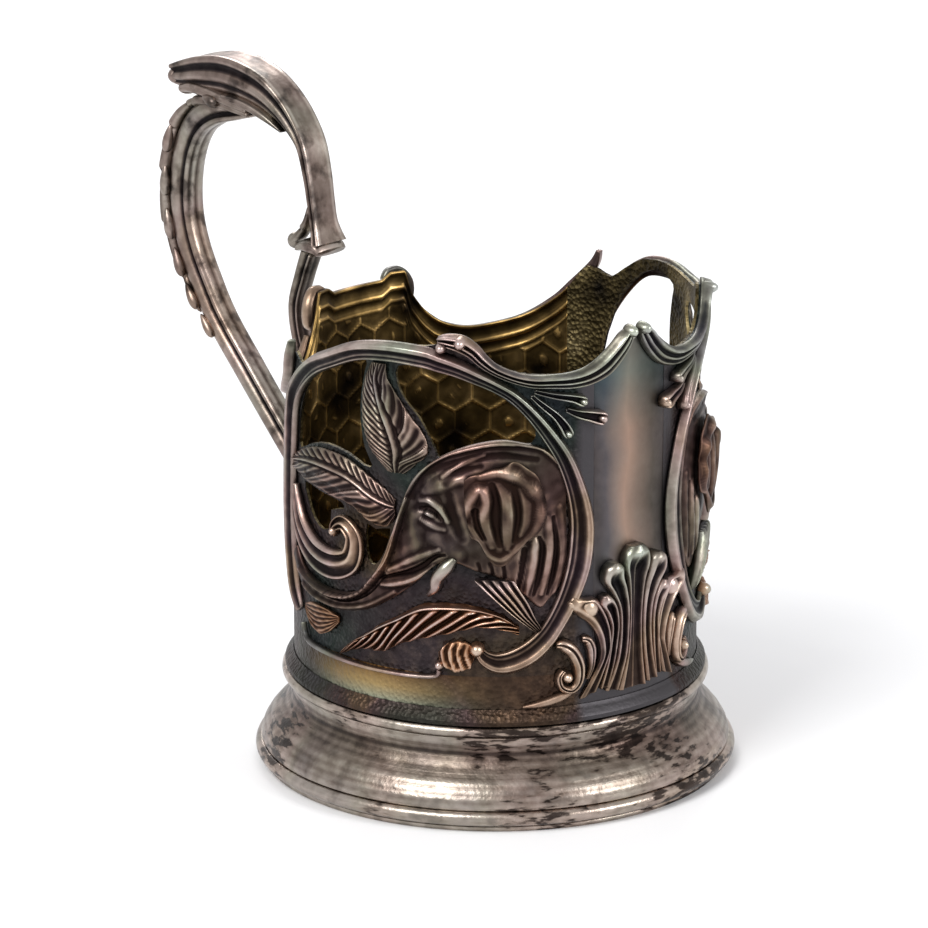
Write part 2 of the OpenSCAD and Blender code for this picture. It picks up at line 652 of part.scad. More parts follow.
crest_shares = [
    [0.1506, 0.774, 0.4, 0.98], [0.1632, 0.798, 0.36, 0.9], [0.1775, 0.83, 0.37, 0.9],
    [0.1972, 0.873, 0.4, 0.93], [0.2384, 0.922, 0.5, 0.95], [0.3316, 0.962, 0.78, 0.97],
    [0.4481, 0.989, 1.04, 1], [0.5664, 1.001, 1.16, 1.04], [0.6775, 1.004, 1.16, 1.04],
    [0.8029, 0.998, 1.04, 0.97], [0.9176, 0.988, 0.78, 0.83], [0.9928, 0.986, 0.42, 0.68]
];
limb_shares = [
    [0.4983, 0.9545, 0.36, 0.9], [0.6237, 0.949, 0.82, 1.05], [0.7599, 0.935, 1, 1.1],
    [0.8566, 0.908, 1.06, 1.1], [0.9158, 0.866, 1.06, 1.1], [0.9462, 0.812, 1.06, 1.1],
    [0.9445, 0.754, 1.04, 1.1], [0.9068, 0.699, 1.04, 1.1], [0.8351, 0.643, 1.04, 1.08],
    [0.7438, 0.586, 1.04, 1.06], [0.595, 0.519, 1.02, 1.05], [0.4535, 0.457, 1, 1.05],
    [0.3012, 0.392, 0.98, 1.06], [0.1757, 0.341, 0.96, 1.1], [0.079, 0.309, 0.98, 1.2],
    [0.0109, 0.296, 1, 1.3]
];
// Leaves on the outside of the limb: row of the limb, share of its thickness and width
outer_leaf_shares = [
    [2.1, 0.14, 0.95], [2.6, 0.34, 1.1], [3.2, 0.5, 1.25], [4, 0.56, 1.3], [5, 0.56, 1.3],
    [6, 0.56, 1.25], [7, 0.46, 1.15], [8, 0.32, 1], [8.6, 0.18, 0.8]
];
hook_leaf_shares = [
    [0.2152, 0.818, 0.2, 0.7], [0.2367, 0.79, 0.3, 0.75], [0.2797, 0.768, 0.4, 0.75],
    [0.3137, 0.754, 0.34, 0.66]
];
thumb_rest_shares = [
    [0.113, 0.7535, 0.24, 0.74], [0.1578, 0.7595, 0.38, 0.76], [0.2116, 0.7605, 0.38, 0.7],
    [0.2653, 0.7575, 0.24, 0.56]
];
bracket_shares = [
    [0.2223, 0.742, 0.6, 0.82], [0.2635, 0.7, 0.56, 0.8], [0.303, 0.645, 0.54, 0.77],
    [0.2779, 0.585, 0.52, 0.75], [0.208, 0.528, 0.5, 0.75], [0.122, 0.482, 0.5, 0.8],
    [0.0593, 0.462, 0.54, 0.85], [0.01, 0.456, 0.6, 0.9]
];

module handle_crest() {
    color("rosybrown")
    swept(handle_rows(crest_shares, crest_t, crest_w));
}

module handle_limb() {
    color("gray")
    swept(handle_rows(limb_shares, limb_t, limb_w));
}

// The leaves lie on the limb's outer face, a solder gap away
look_ahead_share = 0.05;
module handle_outer_leaves() {
    limb = handle_rows(limb_shares, limb_t, limb_w);
    color("darkgray")
    swept([
        for (s = outer_leaf_shares)
            let (
                i = floor(s[0]),
                p = between(limb, i, s[0] - i),
                ahead = between(limb, i, s[0] - i + look_ahead_share) - p,
                way = square_to(unit([ahead[0], ahead[1]])),
                out = way * (p[2] / 2 + solder_gap + s[1] * limb_t / 2)
            )
            [p[0] + out[0], p[1] + out[1], s[1] * limb_t, s[2] * limb_w]
    ]);
}

module handle_hook_leaf() {
    color("darkgray")
    swept(handle_rows(hook_leaf_shares, limb_t, limb_w));
}

module handle_thumb_rest() {
    color("rosybrown")
    swept(handle_rows(thumb_rest_shares, limb_t, thumb_w));
}

module handle_bracket() {
    color("gray")
    swept(handle_rows(bracket_shares, limb_t, limb_w));
}

// Heights above are from the table. The row's origin is on the face that the glass rests on
translate([0, 0, -rest_z]) {
    foot_skirt();
    foot_rim_wire();
    foot_rest_ring();
    collar_bead();
    step_ring();
    floor_plate();
    sleeve_band();
    cartouche_panel();
    rear_panel();
    seam_strip();
    rear_wall_rim();
    palmette();
    handle_crest();
    handle_limb();
    handle_outer_leaves();
    handle_hook_leaf();
    handle_thumb_rest();
    handle_bracket();
    for (side = [-1, 1]) {
        name = side < 0 ? "left_" : "right_";
        color("slategray") medallion_plate(side);
        both_sides_color(side) {
            trail(side, frame_shares, moulding_shares);
            trail(side, frame_curl_shares, leaf_shares);
            patch(side, head_shares, plateau_shares);
            patch(side, ear_rows_shares, ear_shares, ear_h, seat_r + relief_h + solder_gap);
            trail(side, tusk_shares, round_shares);
            trail(side, wave_scroll_shares, leaf_shares, parts = 3);
            patch(side, upright_leaf_shares, leaf_shares);
            patch(side, side_leaf_shares, leaf_shares);
            patch(side, acanthus_shares, leaf_shares);
            trail(side, quill_shares, leaf_shares);
            patch(side, shell_fan_shares, round_shares);
            trail(side, band_edge_shares, round_shares);
            trail(side, front_swag_shares, moulding_shares);
            rear_swag(side);
            rear_volute(side);
            for (finger = finger_shares) trail(side, finger, round_shares);
            trail(side, palmette_scroll_shares, round_shares);
            trail(side, palmette_volute_shares, round_shares);
        }
    }
}
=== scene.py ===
# %% [markdown]
# # A chased silver tea glass holder
#
# This lesson dresses a measured model of a tea glass holder. The frame is loaded first: it holds
# every piece of the holder as a plain solid, in metres. Its origin is the middle of the face that
# the glass rests on, and the handle is at -X. Each step then replaces plain solids with finely
# modelled ones in the same place.

# %% Load the measured frame
import math

import bmesh
import bpy
import numpy as np
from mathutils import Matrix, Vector


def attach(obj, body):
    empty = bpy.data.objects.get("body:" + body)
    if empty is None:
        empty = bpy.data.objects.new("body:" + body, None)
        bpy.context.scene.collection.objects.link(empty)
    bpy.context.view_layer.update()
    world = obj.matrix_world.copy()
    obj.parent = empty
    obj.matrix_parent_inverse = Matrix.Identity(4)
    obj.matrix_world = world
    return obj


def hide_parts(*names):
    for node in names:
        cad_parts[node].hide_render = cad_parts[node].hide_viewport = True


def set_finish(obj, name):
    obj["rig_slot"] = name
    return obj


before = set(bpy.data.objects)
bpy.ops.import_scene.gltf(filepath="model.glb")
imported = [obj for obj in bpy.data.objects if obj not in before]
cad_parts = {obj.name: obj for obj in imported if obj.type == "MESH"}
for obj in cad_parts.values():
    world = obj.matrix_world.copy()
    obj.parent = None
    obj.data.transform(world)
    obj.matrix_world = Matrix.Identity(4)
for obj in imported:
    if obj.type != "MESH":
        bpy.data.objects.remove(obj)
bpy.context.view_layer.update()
print("frame", len(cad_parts), "nodes")

# %% [markdown]
# ## The sleeve's chart
#
# The ornament was chased on a flat sheet that was then bent into a tube. It is easiest to draw
# the same way: flat, on a chart, and to bend it afterwards. A place on the chart is an angle in
# degrees from the middle of the cartouche and a height in millimetres over the sleeve's foot.
# One function bends the chart onto the tube, so each leaf is drawn once for both sides. Heights
# are counted from the table, and each finished piece is let down so that the glass rests at zero.

# %% Measures of the sleeve
MM = 0.001
SHEET_R, BORE_R = 35.4, 34.6  # the sleeve's outer and inner face
SEAT_R = 35.55  # the cylinder that the relief is built on
FULL_RISE = 1.9  # how far full relief stands out of it
REST_Z, SLEEVE_Z, BAND_Z = 16.1, 19.008, 26.008  # over the table: glass, chart's zero, band's top
NEAR, FRONT_TURN = 13.0, -4.0  # the cartouche's half width and its turn from +X, in degrees
SPREAD = {-1: 1.0, 1: 0.93}  # the right side is a little narrower
SHOULDER_RISE = 4.8  # and its far shoulder stands higher
DEG = math.pi / 180 * 35.45  # one degree along the sleeve, in millimetres


def ease(u):
    """A soft step from 0 to 1."""
    u = np.clip(u, 0, 1)
    return u * u * (3 - 2 * u)


def bump(u, at, width):
    """A smooth ridge across a section."""
    return np.exp(-((u - at) / width) ** 2)


def dome(u):
    """A half circle over -1 to 1."""
    return np.sqrt(np.maximum(1 - u ** 2, 0))


def chart_angle(side, b):
    """The turn about the axis of a chart angle b, on the left (-1) or right (1); 0 leaves it as it is."""
    b = np.asarray(b, float)
    if side == 0:
        return b
    return FRONT_TURN + side * np.where(b <= NEAR, b, NEAR + (b - NEAR) * SPREAD[side])


def chart_height(side, b, t):
    """The height over the table of a chart height t."""
    b, t = np.asarray(b, float), np.asarray(t, float)
    rise = 0 if side <= 0 else SHOULDER_RISE * ease((b - 70) / 28) * ease((t - 42) / 16)
    return SLEEVE_Z + t + rise


def on_tube(angle, z, r):
    a = np.radians(angle)
    return np.stack([r * np.cos(a), r * np.sin(a), z + 0 * r], -1) * MM


def curve_at(rows, i):
    """The place at row number i of the smooth curve through the rows; i may lie between rows."""
    last = len(rows) - 1
    k = min(int(i), last - 1)
    a, b, c, d = (np.asarray(rows[min(max(n, 0), last)], float) for n in range(k - 1, k + 3))
    u = i - k
    square, cube = 2 * a - 5 * b + 4 * c - d, 3 * b - a - 3 * c + d
    return (2 * b + (c - a) * u + square * u ** 2 + cube * u ** 3) / 2


def smooth(rows, parts):
    """The smooth curve through the rows, with some parts between each two."""
    return np.array([curve_at(rows, i) for i in np.arange((len(rows) - 1) * parts + 1) / parts])


print("one degree on the sleeve is", round(DEG, 3), "mm")

# %% [markdown]
# ## Turning a grid into a closed piece
#
# Nearly every ornament here is a grid that is rolled up like a sleeve of cloth: its columns run
# round the section of the piece and its rows run along it. The grid's first and last columns are
# merged and its two ends are filled, so the piece is closed. A grid operator makes it, and a
# table of places moves its vertices.

# %% Helpers for closed pieces
ROOT = "root"
made = []


def finish_piece(bm, name, slot, replaces, merge=1e-6):
    bmesh.ops.remove_doubles(bm, verts=bm.verts, dist=merge)
    bmesh.ops.translate(bm, verts=bm.verts, vec=(0, 0, -REST_Z * MM))
    bmesh.ops.recalc_face_normals(bm, faces=bm.faces)
    mesh = bpy.data.meshes.new(name)
    bm.to_mesh(mesh)
    bm.free()
    mesh.shade_smooth()
    piece = bpy.data.objects.new(name, mesh)
    bpy.context.scene.collection.objects.link(piece)
    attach(piece, ROOT)
    if replaces:
        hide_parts(*replaces)
    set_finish(piece, slot)
    made.append(piece)
    return piece


def roll_grid(bm, places):
    """Adds a grid whose vertices go to places[row, column], closes it round and fills its ends."""
    rows, columns = places.shape[:2]
    grid = bmesh.ops.create_grid(bm, x_segments=columns, y_segments=rows - 1, size=1)["verts"]
    for v in grid:
        j = round((v.co.x + 1) / 2 * columns) % columns
        i = round((v.co.y + 1) / 2 * (rows - 1))
        v.co = places[i, j]
    bmesh.ops.remove_doubles(bm, verts=grid, dist=1e-7)
    edges = [e for e in bm.edges if e.is_boundary]
    bmesh.ops.holes_fill(bm, edges=edges, sides=0)


print("helpers ready")

# %% [markdown]
# ## Chasing: raised and sunk strokes
#
# A chaser raises the metal from behind and then sharpens it from the front with many short
# strokes. A stroke here is a path on the chart with a width and a height, and a ridge or a groove
# of that size is added to the height of every grid point near it. Whole faces and leaves are
# built up from such strokes, exactly as the tool marks build them up in silver.

# %% Strokes on the chart
def flat(b, t):
    """Chart places in millimetres."""
    return np.stack([np.asarray(b, float) * DEG, np.asarray(t, float)], -1)


def stroke(points, path):
    """Height added by one stroke. path rows: angle, height, width, amount."""
    rows = smooth(path, 5) if len(path) > 2 else np.asarray(path, float)
    best = np.full(points.shape[:-1], 9.0)
    amount = np.zeros(points.shape[:-1])
    for p, q in zip(rows[:-1], rows[1:]):
        a, c = flat(p[0], p[1]), flat(q[0], q[1])
        d = c - a
        u = np.clip(((points - a) @ d) / max(d @ d, 1e-9), 0, 1)
        gap = np.linalg.norm(points - (a + u[..., None] * d), axis=-1)
        share = gap / np.maximum((p[2] + (q[2] - p[2]) * u) / 2, 1e-3)
        near = share < best
        best = np.where(near, share, best)
        amount = np.where(near, p[3] + (q[3] - p[3]) * u, amount)
    return amount * np.where(best < 1, (1 - best ** 2) ** 2, 0)


def chase(points, strokes):
    """The sum of many strokes."""
    height = np.zeros(points.shape[:-1])
    for path in strokes:
        height += stroke(points, path)
    return height


rise = stroke(flat(0, 0)[None], [[-1, 0, 1, 1], [1, 0, 1, 1]])[0]
print("a stroke of one millimetre rises", float(rise))

# %% [markdown]
# ## Two kinds of ornament
#
# A *moulding* follows a path and has the same section all along, like the frames and scrolls. A
# *leaf* lies between two edges that come together at both ends. Both are rolled grids: their front
# columns carry the relief and their last columns run back under it along the sheet.

# %% Mouldings and leaves
BACK_STRIPS = 4  # the flat back of a piece needs few columns
LEAST_MOULDING, LEAST_LEAF, LEAST_HEAD = 0.12, 0.1, 0.15  # heights that keep a front off its back


def closed_rows(side, b, t, h, seat=SEAT_R):
    """Front of a piece, then its back along the sheet, as one rolled table of places."""
    def bent(b, t, h):
        return on_tube(chart_angle(side, b), chart_height(side, b, t), seat + h)
    back = slice(None, None, -max(1, (b.shape[1] - 1) // BACK_STRIPS))
    return np.concatenate([bent(b, t, h), bent(b[:, back], t[:, back], 0 * b[:, back])], axis=1)


def moulding_places(side, path, section, rise=FULL_RISE, across=16, parts=6, strokes=()):
    """path rows: angle and height of the middle, width, share of the relief."""
    rows = smooth(path, parts)
    spot = flat(rows[:, 0], rows[:, 1])
    way = np.gradient(spot, axis=0)
    way /= np.maximum(np.linalg.norm(way, axis=1, keepdims=True), 1e-9)
    u = np.linspace(-1, 1, across + 1)
    normal = np.stack([-way[:, 1], way[:, 0]], -1)
    place = spot[:, None] - normal[:, None] * (u[None, :, None] * rows[:, 2][:, None, None] / 2)
    h = rise * rows[:, 3][:, None] * section(u)[None, :] + chase(place, strokes)
    return closed_rows(side, place[..., 0] / DEG, place[..., 1], np.maximum(h, LEAST_MOULDING))


def leaf_grid(edges, across, parts):
    """The smooth rows between two edges, u across them from -1 to 1, and the places' b and t."""
    rows = smooth(edges, parts)
    u = np.linspace(-1, 1, across + 1)
    one, two = rows[:, None, 0:2], rows[:, None, 2:4]
    place = one + (two - one) * (u[None, :, None] + 1) / 2
    return rows, u, place[..., 0], place[..., 1]


def leaf_places(side, edges, height, across=26, parts=9, seat=SEAT_R, strokes=()):
    """edges rows: angle and height of one edge, of the other, share of the relief."""
    rows, u, b, t = leaf_grid(edges, across, parts)
    v = np.linspace(0, 1, len(rows))[:, None]
    h = height(u[None, :], v, rows[:, 4][:, None]) + chase(flat(b, t), strokes)
    return closed_rows(side, b, t, np.maximum(h, LEAST_LEAF), seat)


def bead(side, b, t, radius, rise):
    """A round bead as a short, fat moulding."""
    tip, shoulder = (0.3, 0.3), (1.4 * radius, 0.75)
    ends = ((-1, tip), (-0.7, shoulder), (0, (2 * radius, 1)), (0.7, shoulder), (1, tip))
    rows = [[b + x * radius / DEG, t, *size] for x, size in ends]
    return moulding_places(side, rows, round_section, rise, across=10, parts=3)


def beads(side, *rows):
    return [bead(side, *row) for row in rows]


def frame_section(u):
    """One broad band, a groove, and a thin ridge along the inner edge."""
    ridges = 0.42 * bump(u, 0.85, 0.12) + 0.1 * bump(u, 0.45, 0.15) + 0.7 * bump(u, -0.45, 0.4)
    return (1 - 0.6 * np.abs(u) ** 6) * (0.32 + ridges - 0.14 * bump(u, -0.42, 0.1))


def swag_section(u):
    ridges = 0.4 * bump(u, -0.8, 0.15) + 0.45 * bump(u, -0.25, 0.2) + 0.6 * bump(u, 0.5, 0.3)
    return (1 - 0.5 * np.abs(u) ** 6) * (0.34 + ridges)


def round_section(u):
    return 0.28 + 0.72 * dome(u)


def hollow_section(u):
    return 0.3 + 0.7 * (bump(u, -0.72, 0.24) + bump(u, 0.72, 0.24)) + 0.12 * bump(u, 0, 0.5)


def build(name, slot, replaces, tables):
    bm = bmesh.new()
    for places in tables:
        roll_grid(bm, places)
    return finish_piece(bm, name, slot, replaces)


SIDES = {-1: "left", 1: "right"}


def relief(side, name, replaced, tables):
    """A relief piece of one side, in place of that side's plain node."""
    word = SIDES[side]
    return build(f"{word}_{name}", "relief_silver", [f"{word}_{replaced}"], tables)


FRAME = [
    [45.8, 12.3, 1.6, 0.7], [43.9, 10.6, 2.8, 0.8], [40.5, 9.6, 3.8, 0.8], [36.4, 9.9, 4.2, 0.85],
    [31.7, 11.3, 4.3, 0.85], [27.6, 13.6, 4, 0.9], [24.2, 16.6, 3.8, 0.9], [20.6, 21, 4.2, 0.95],
    [17.9, 26, 4.8, 1], [16.9, 31, 4.8, 1], [17.2, 35.5, 4.4, 1], [19.1, 40.5, 3.7, 1],
    [22.2, 45.5, 3.3, 1], [26.4, 49.8, 2.9, 1], [31, 53.6, 2.5, 1], [36, 56.8, 2.3, 1],
    [41, 58.8, 2.4, 1], [46, 60.3, 2.8, 1], [51, 61.6, 3.2, 1], [56, 62.5, 3.6, 1], [61, 63.2, 3.9, 1],
    [71, 63.4, 3.7, 1], [81, 62.5, 3.4, 1], [91, 60, 3.3, 1], [101, 57, 3.4, 1], [110.2, 52.4, 3.5, 1],
    [115, 48.3, 3.8, 1], [117.6, 41.5, 4.1, 1], [119.2, 33, 4.2, 1], [119.4, 27, 4.2, 1],
    [118.4, 21, 4, 0.95], [115.5, 15, 3.6, 0.85], [111.6, 11.4, 2.4, 0.6]
]
for side in SIDES:
    relief(side, "frame_relief", "frame", [moulding_places(side, FRAME, frame_section, across=22)])
print("frames", [len(o.data.polygons) for o in made])

# %% [markdown]
# ## Swags, fingers and the palmette
#
# The rim between two medallions hangs like a ribbon. It starts in a little double volute, and three
# fingers run out of it, each to a bead. Under it stands a palmette of hollow, spoon-ended lobes.

# %% Swags, fingers, wire edge
SWAG = [
    [56.4, 66.3, 1.4, 0.8], [53.8, 66.3, 2.4, 1.1], [50.2, 65.9, 3, 1.2], [47, 64.7, 2.7, 1.1],
    [44.3, 63, 2.3, 1], [41, 61.5, 1.9, 1], [36, 60.1, 1.9, 1], [31, 59.3, 2.2, 1], [26, 59.1, 2.4, 1],
    [20, 59, 2.9, 1], [15, 59.5, 3.4, 1], [10.4, 60.8, 3.9, 1], [6.4, 63, 3.6, 1.05], [3.8, 65, 3, 1.15],
    [2.3, 66.2, 1.6, 0.9]
]
FINGERS = [
    [[30.4, 57.6, 0.8, 0.5], [25.6, 56.8, 1.1, 0.8], [20.4, 56.1, 1.5, 1], [17.4, 55.4, 2, 1.1],
     [16.4, 55.1, 1, 0.7]],
    [[31.2, 56.8, 0.8, 0.5], [28.4, 55.2, 1.2, 0.8], [25, 53.3, 1.5, 0.9], [22.8, 51.5, 1.9, 1],
     [21.6, 50, 2, 1.1], [21.1, 49.2, 0.9, 0.7]],
    [[21.6, 54, 0.9, 0.6], [18.6, 53.2, 1.6, 0.8], [14.8, 52.5, 2.2, 0.9], [11.6, 51.9, 2.6, 1.1],
     [10.4, 51.6, 1.3, 0.7]]
]
EDGE = [[b, t, 0.9, 0.5] for b, t in (
    (108.4, 9.6), (107.2, 7.7), (103, 6.7), (91, 6.5), (76, 6.4), (63, 6.5), (57.4, 6.9), (56.4, 8)
)]
VOLUTE = [
    [24.4, 12.4, 1.2, 0.6], [22.4, 12.3, 2.2, 0.95], [19.8, 11, 2.4, 1.05], [18, 8.4, 2.2, 1.05],
    [18.2, 5.7, 1.9, 1], [20.2, 4.3, 1.7, 0.95], [22.8, 4.9, 1.4, 0.9], [23.6, 6.6, 1.2, 0.85],
    [22.4, 7.8, 1, 0.8]
]
VOLUTE_TAIL = [
    [19.4, 3.9, 0.9, 0.5], [22.4, 3.1, 1.5, 0.65], [26, 2.4, 1.5, 0.6], [30, 1.9, 1.1, 0.5],
    [33.5, 1.6, 0.5, 0.3]
]
SHIELD = [[b, t, 0.02, t, share] for b, t, share in (
    (5, 2.4, 0.5), (4, 5, 0.6), (2.8, 9, 0.7), (2.3, 13.5, 0.75), (2.4, 18, 0.85), (3.2, 22, 1),
    (4.4, 24.6, 1.2), (4, 26.8, 1.25), (2.2, 28.2, 1)
)]
LOBE = [
    [9.6, 2.9, 5.2, 2.7, 0.5], [7.8, 5.5, 4.2, 5.5, 0.65], [6.2, 9.2, 3, 9.2, 0.8],
    [5.6, 13.5, 2.5, 13.5, 0.85], [6.2, 17.5, 2.6, 17.5, 0.95], [8.4, 20.4, 3.4, 20.8, 1.05],
    [10.9, 22.8, 4.6, 23.2, 1.2], [10.5, 25, 5, 25, 1.25], [8.6, 26, 6.6, 26, 1]
]
SMALL_LOBE = [
    [11.2, 3.4, 8.6, 3.4, 0.45], [9.6, 7.6, 7, 8, 0.7], [8.8, 11.5, 6.2, 12, 0.85],
    [8.6, 14.5, 6, 14.8, 0.95], [10, 17, 6.6, 17.6, 1.05], [12, 18.8, 8, 19.6, 1.1],
    [11.6, 20.2, 9.6, 20.6, 0.9]
]
LEAF = [
    [17.4, 2.2, 12.3, 3.2, 0.5], [14.4, 5.4, 10.4, 6.4, 0.7], [11.7, 8.8, 8.4, 10.7, 0.9],
    [11.7, 11.4, 8.6, 13.7, 1], [13, 13.8, 9.6, 16.2, 1.05], [15.2, 15.8, 11.4, 18.6, 1.15],
    [18, 17.2, 13.4, 20.2, 1.2], [20.4, 18.6, 16.4, 20.4, 1.15], [21.2, 20.2, 19.6, 21.2, 0.8]
]
HOOK_LOBE = [
    [16.9, 12.9, 1.2, 0.5], [15.4, 12.7, 1.7, 0.9], [14.3, 10.9, 1.8, 0.95], [14.2, 7.9, 1.2, 0.7],
    [15.2, 5.6, 0.7, 0.4]
]


def spoon_tip(hollow, u, v, share, start, full=0.65):
    """The hollow section fills up to a spoon after the share start of the lobe's length."""
    tip = ease((v - start) * 5)
    return FULL_RISE * share * (hollow * (1 - tip) + (0.5 + full * dome(u)) * tip)


def lobe_height(u, v, share):
    """A hollow lobe with bright ridges on both edges."""
    hollow = 0.34 + 0.61 * bump(np.abs(u), 0.7, 0.32) + 0.06 * bump(u, 0, 0.12)
    return spoon_tip(hollow, u, v, share, 0.68)


def half_height(u, v, share):
    """The middle lobe's left or right half: u = 1 lies on its axis."""
    hollow = 0.28 + 0.62 * bump(u, -0.62, 0.34) + 0.12 * bump(u, 1, 0.14)
    return spoon_tip(hollow, (1 - u) / 2, v, share, 0.7)


def scroll_height(u, v, share):
    body = 0.42 + 0.5 * bump(u, -0.5, 0.4) + 0.4 * bump(u, 0.72, 0.22)
    return spoon_tip(body, u, v, share, 0.74, full=0.6)


def scroll_section(u):
    """A full, rounded scroll with one groove in it."""
    return 0.3 + 0.7 * dome(u) - 0.3 * bump(u, 0.1, 0.16)


for side in SIDES:
    relief(side, "front_swag_relief", "front_swag", [
        moulding_places(side, SWAG, swag_section, across=20),
        *beads(side, (55.3, 65.2, 1.0, 2.6), (50.2, 66.2, 1.15, 3.0), (2.3, 66.2, 1.1, 2.6))])
    relief(side, "fingers", "drops", [
        *(moulding_places(side, finger, hollow_section, across=12) for finger in FINGERS),
        *beads(side, (17.2, 55.3, 0.8, 2.3), (21.5, 49.9, 0.8, 2.3), (11.4, 51.8, 0.9, 2.2))])
    relief(side, "wire_edge", "band_edge", [
        moulding_places(side, EDGE, round_section, across=8), bead(side, 56.2, 9, 0.9, 1.8)])
    relief(side, "palmette_leaf", "palmette_scroll", [
        leaf_places(side, LEAF, scroll_height, across=24, parts=8),
        moulding_places(side, HOOK_LOBE, scroll_section, across=14),
        *beads(side, (15.1, 18.4, 1.9, 2.2), (19.9, 19.6, 1.1, 2))])
    relief(side, "volute_leaf", "palmette_volute", [
        moulding_places(side, VOLUTE, scroll_section, across=16),
        moulding_places(side, VOLUTE_TAIL, round_section, across=8),
        bead(side, 21.4, 6.6, 1, 2.4)])
LOBES = ((SHIELD, half_height, 20, 9), (LOBE, lobe_height, 24, 9), (SMALL_LOBE, lobe_height, 20, 8))
build("palmette_lobes", "relief_silver", ["palmette"], [
    leaf_places(side, edges, height, across, parts)
    for edges, height, across, parts in LOBES for side in SIDES])
print("pieces so far", len(made))

# %% [markdown]
# ## Feather leaves, acanthus and the breaking wave
#
# The leaves around the head are drawn like feathers: a midrib with many narrow barbs on one side and
# broad hollow lobes on the other. The barbs are a wave along the leaf that slants back from the rib.

# %% Leaves
def feather(count, slant, rib, depth, base=1.2, lobes=0):
    """Barbs on both sides of a rib, or lobes with a sharp edge on its second side; base in mm."""
    def height(u, v, share):
        d = u - rib
        off = np.abs(d)
        barb = 0.5 + 0.5 * np.cos(2 * np.pi * (count * v - slant * off ** 1.3))
        body = 0.35 + 0.65 * (1 - np.abs(u) ** 3)
        fade = ease(off * 3) * (1 - 0.5 * ease((np.abs(u) - 0.8) * 5))
        if lobes:
            q = (lobes * v - 0.3 * slant * off ** 1.2) % 1.0
            lobe = 0.1 + 0.9 * ease(1 - q * 1.6) * ease(q * 14)
            barb = np.where(d > 0, 1.7 * (lobe + 0.22 * np.cos(6 * np.pi * q) * ease(q * 4)), barb)
        midrib = 0.5 * bump(d, 0, 0.08) - 0.35 * bump(off, 0.17, 0.07)
        return share * (base * (body + depth * (barb - 0.5) * fade) + midrib)
    return height


UPRIGHT = [[far, t, near, t, share] for far, near, t, share in (
    (76.5, 72, 61, 0.5), (78.5, 71.4, 58.5, 0.7), (79.5, 68.2, 55.5, 0.9), (79.8, 64.4, 52.5, 1),
    (79.5, 61.2, 50, 1), (78.5, 59.5, 47.6, 0.95), (77, 60, 45.7, 0.9), (74.5, 63.2, 44, 0.7),
    (71.6, 66, 42.3, 0.5)
)]
SIDE_LEAF = [[b, high, b, low, share] for b, high, low, share in (
    (119, 38, 36.5, 0.5), (113, 39.7, 36.2, 0.7), (106, 41.6, 36, 0.85), (99, 42.9, 35.7, 1),
    (92, 43.2, 35.4, 1), (86, 42.9, 35, 1), (81, 41.8, 34, 0.95), (76, 40.2, 32.4, 0.9),
    (72, 38.8, 32.4, 0.7), (69.2, 37.4, 34, 0.5)
)]
ACANTHUS = [[b, high, b, low, share] for b, high, low, share in (
    (88, 8, 7.6, 0.4), (83, 10.8, 9, 0.7), (78, 12.8, 9.8, 0.9), (73, 15.2, 10, 1), (68, 17, 11.8, 1),
    (61, 19.6, 13.4, 1), (53, 20.2, 14.8, 1), (46, 19.8, 16, 0.9), (39.5, 18.4, 15.6, 0.75),
    (34.6, 16.2, 14.6, 0.5)
)]
SHELL = [[b, high, b, low, share] for b, high, low, share in (
    (107, 13.4, 12.4, 0.4), (103, 14.3, 10.5, 0.7), (98, 14.6, 9.6, 0.9), (93, 14.4, 10.8, 0.8),
    (89.4, 14, 12.8, 0.5)
)]
WAVE = [
    [114, 33.8, 1.4, 0.6], [112.6, 31, 3.8, 0.8], [108.4, 26.9, 5.1, 0.9], [100, 23.9, 5.4, 1],
    [91, 23.2, 5.4, 1], [84, 25, 4.6, 0.95], [82.6, 29, 3.6, 0.85], [86.6, 31.3, 2.8, 0.8],
    [90.4, 30.2, 2, 0.7], [91.2, 28.4, 1.1, 0.6]
]
QUILLS = [
    [46.4, 24.8, 36, 24.6, 0.8], [45.2, 24.1, 34.8, 23.2, 1], [41, 21.4, 32.4, 20.6, 1],
    [36, 18.4, 30.6, 18, 0.95], [31.6, 16, 29, 16.2, 0.75], [29.6, 15, 28.6, 15.2, 0.4]
]
CURL = [[46.8, 10.3, 3.2, 0.6], [49.8, 10.9, 5.2, 0.9], [53.2, 10.8, 4.6, 0.9], [56.4, 10.4, 1.6, 0.5]]
UPRIGHT_FOLDS = [
    [[71.5, 57, 2, -0.2], [68.4, 53.5, 3, -0.4], [66.6, 49.6, 2, -0.2]],
    [[76.6, 57, 2, -0.2], [76, 52.6, 3, -0.35], [74, 48, 2, -0.2]]
]
SIDE_FOLDS = [
    [[104, 37.6, 2, -0.2], [95, 37, 2.6, -0.35], [84, 35.6, 2, -0.3], [78, 34.4, 1.4, -0.2]],
    [[79, 33.4, 1, 0.2], [74.2, 33.2, 1.2, 0.4], [71, 34.2, 0.9, 0.2]]
]
ACANTHUS_STEM = [
    [88, 7.8, 1, 0.3], [80, 11.5, 1.5, 0.6], [73.2, 14.8, 1.8, 0.7], [66.9, 16.9, 1.8, 0.7],
    [60.9, 18.8, 1.8, 0.7], [53, 19.5, 1.8, 0.7], [44, 18.8, 1.6, 0.6], [36, 16.8, 1, 0.4]
]
CURL_LOBES = [
    [[b, 8.4, 1, 0.5], [b + 1.6, 11.4, 1.2, 0.9], [b + 0.6, 13.3, 0.8, 0.5]]
    for b in (47.2, 49.4, 51.6, 53.8)
]


def wave_section(u):
    ridges = 0.55 * bump(u, 0.8, 0.18) + 0.66 * bump(u, 0.1, 0.32) + 0.5 * bump(u, -0.82, 0.16)
    return 0.26 + ridges


def curl_section(u):
    return 0.55 + 0.3 * u


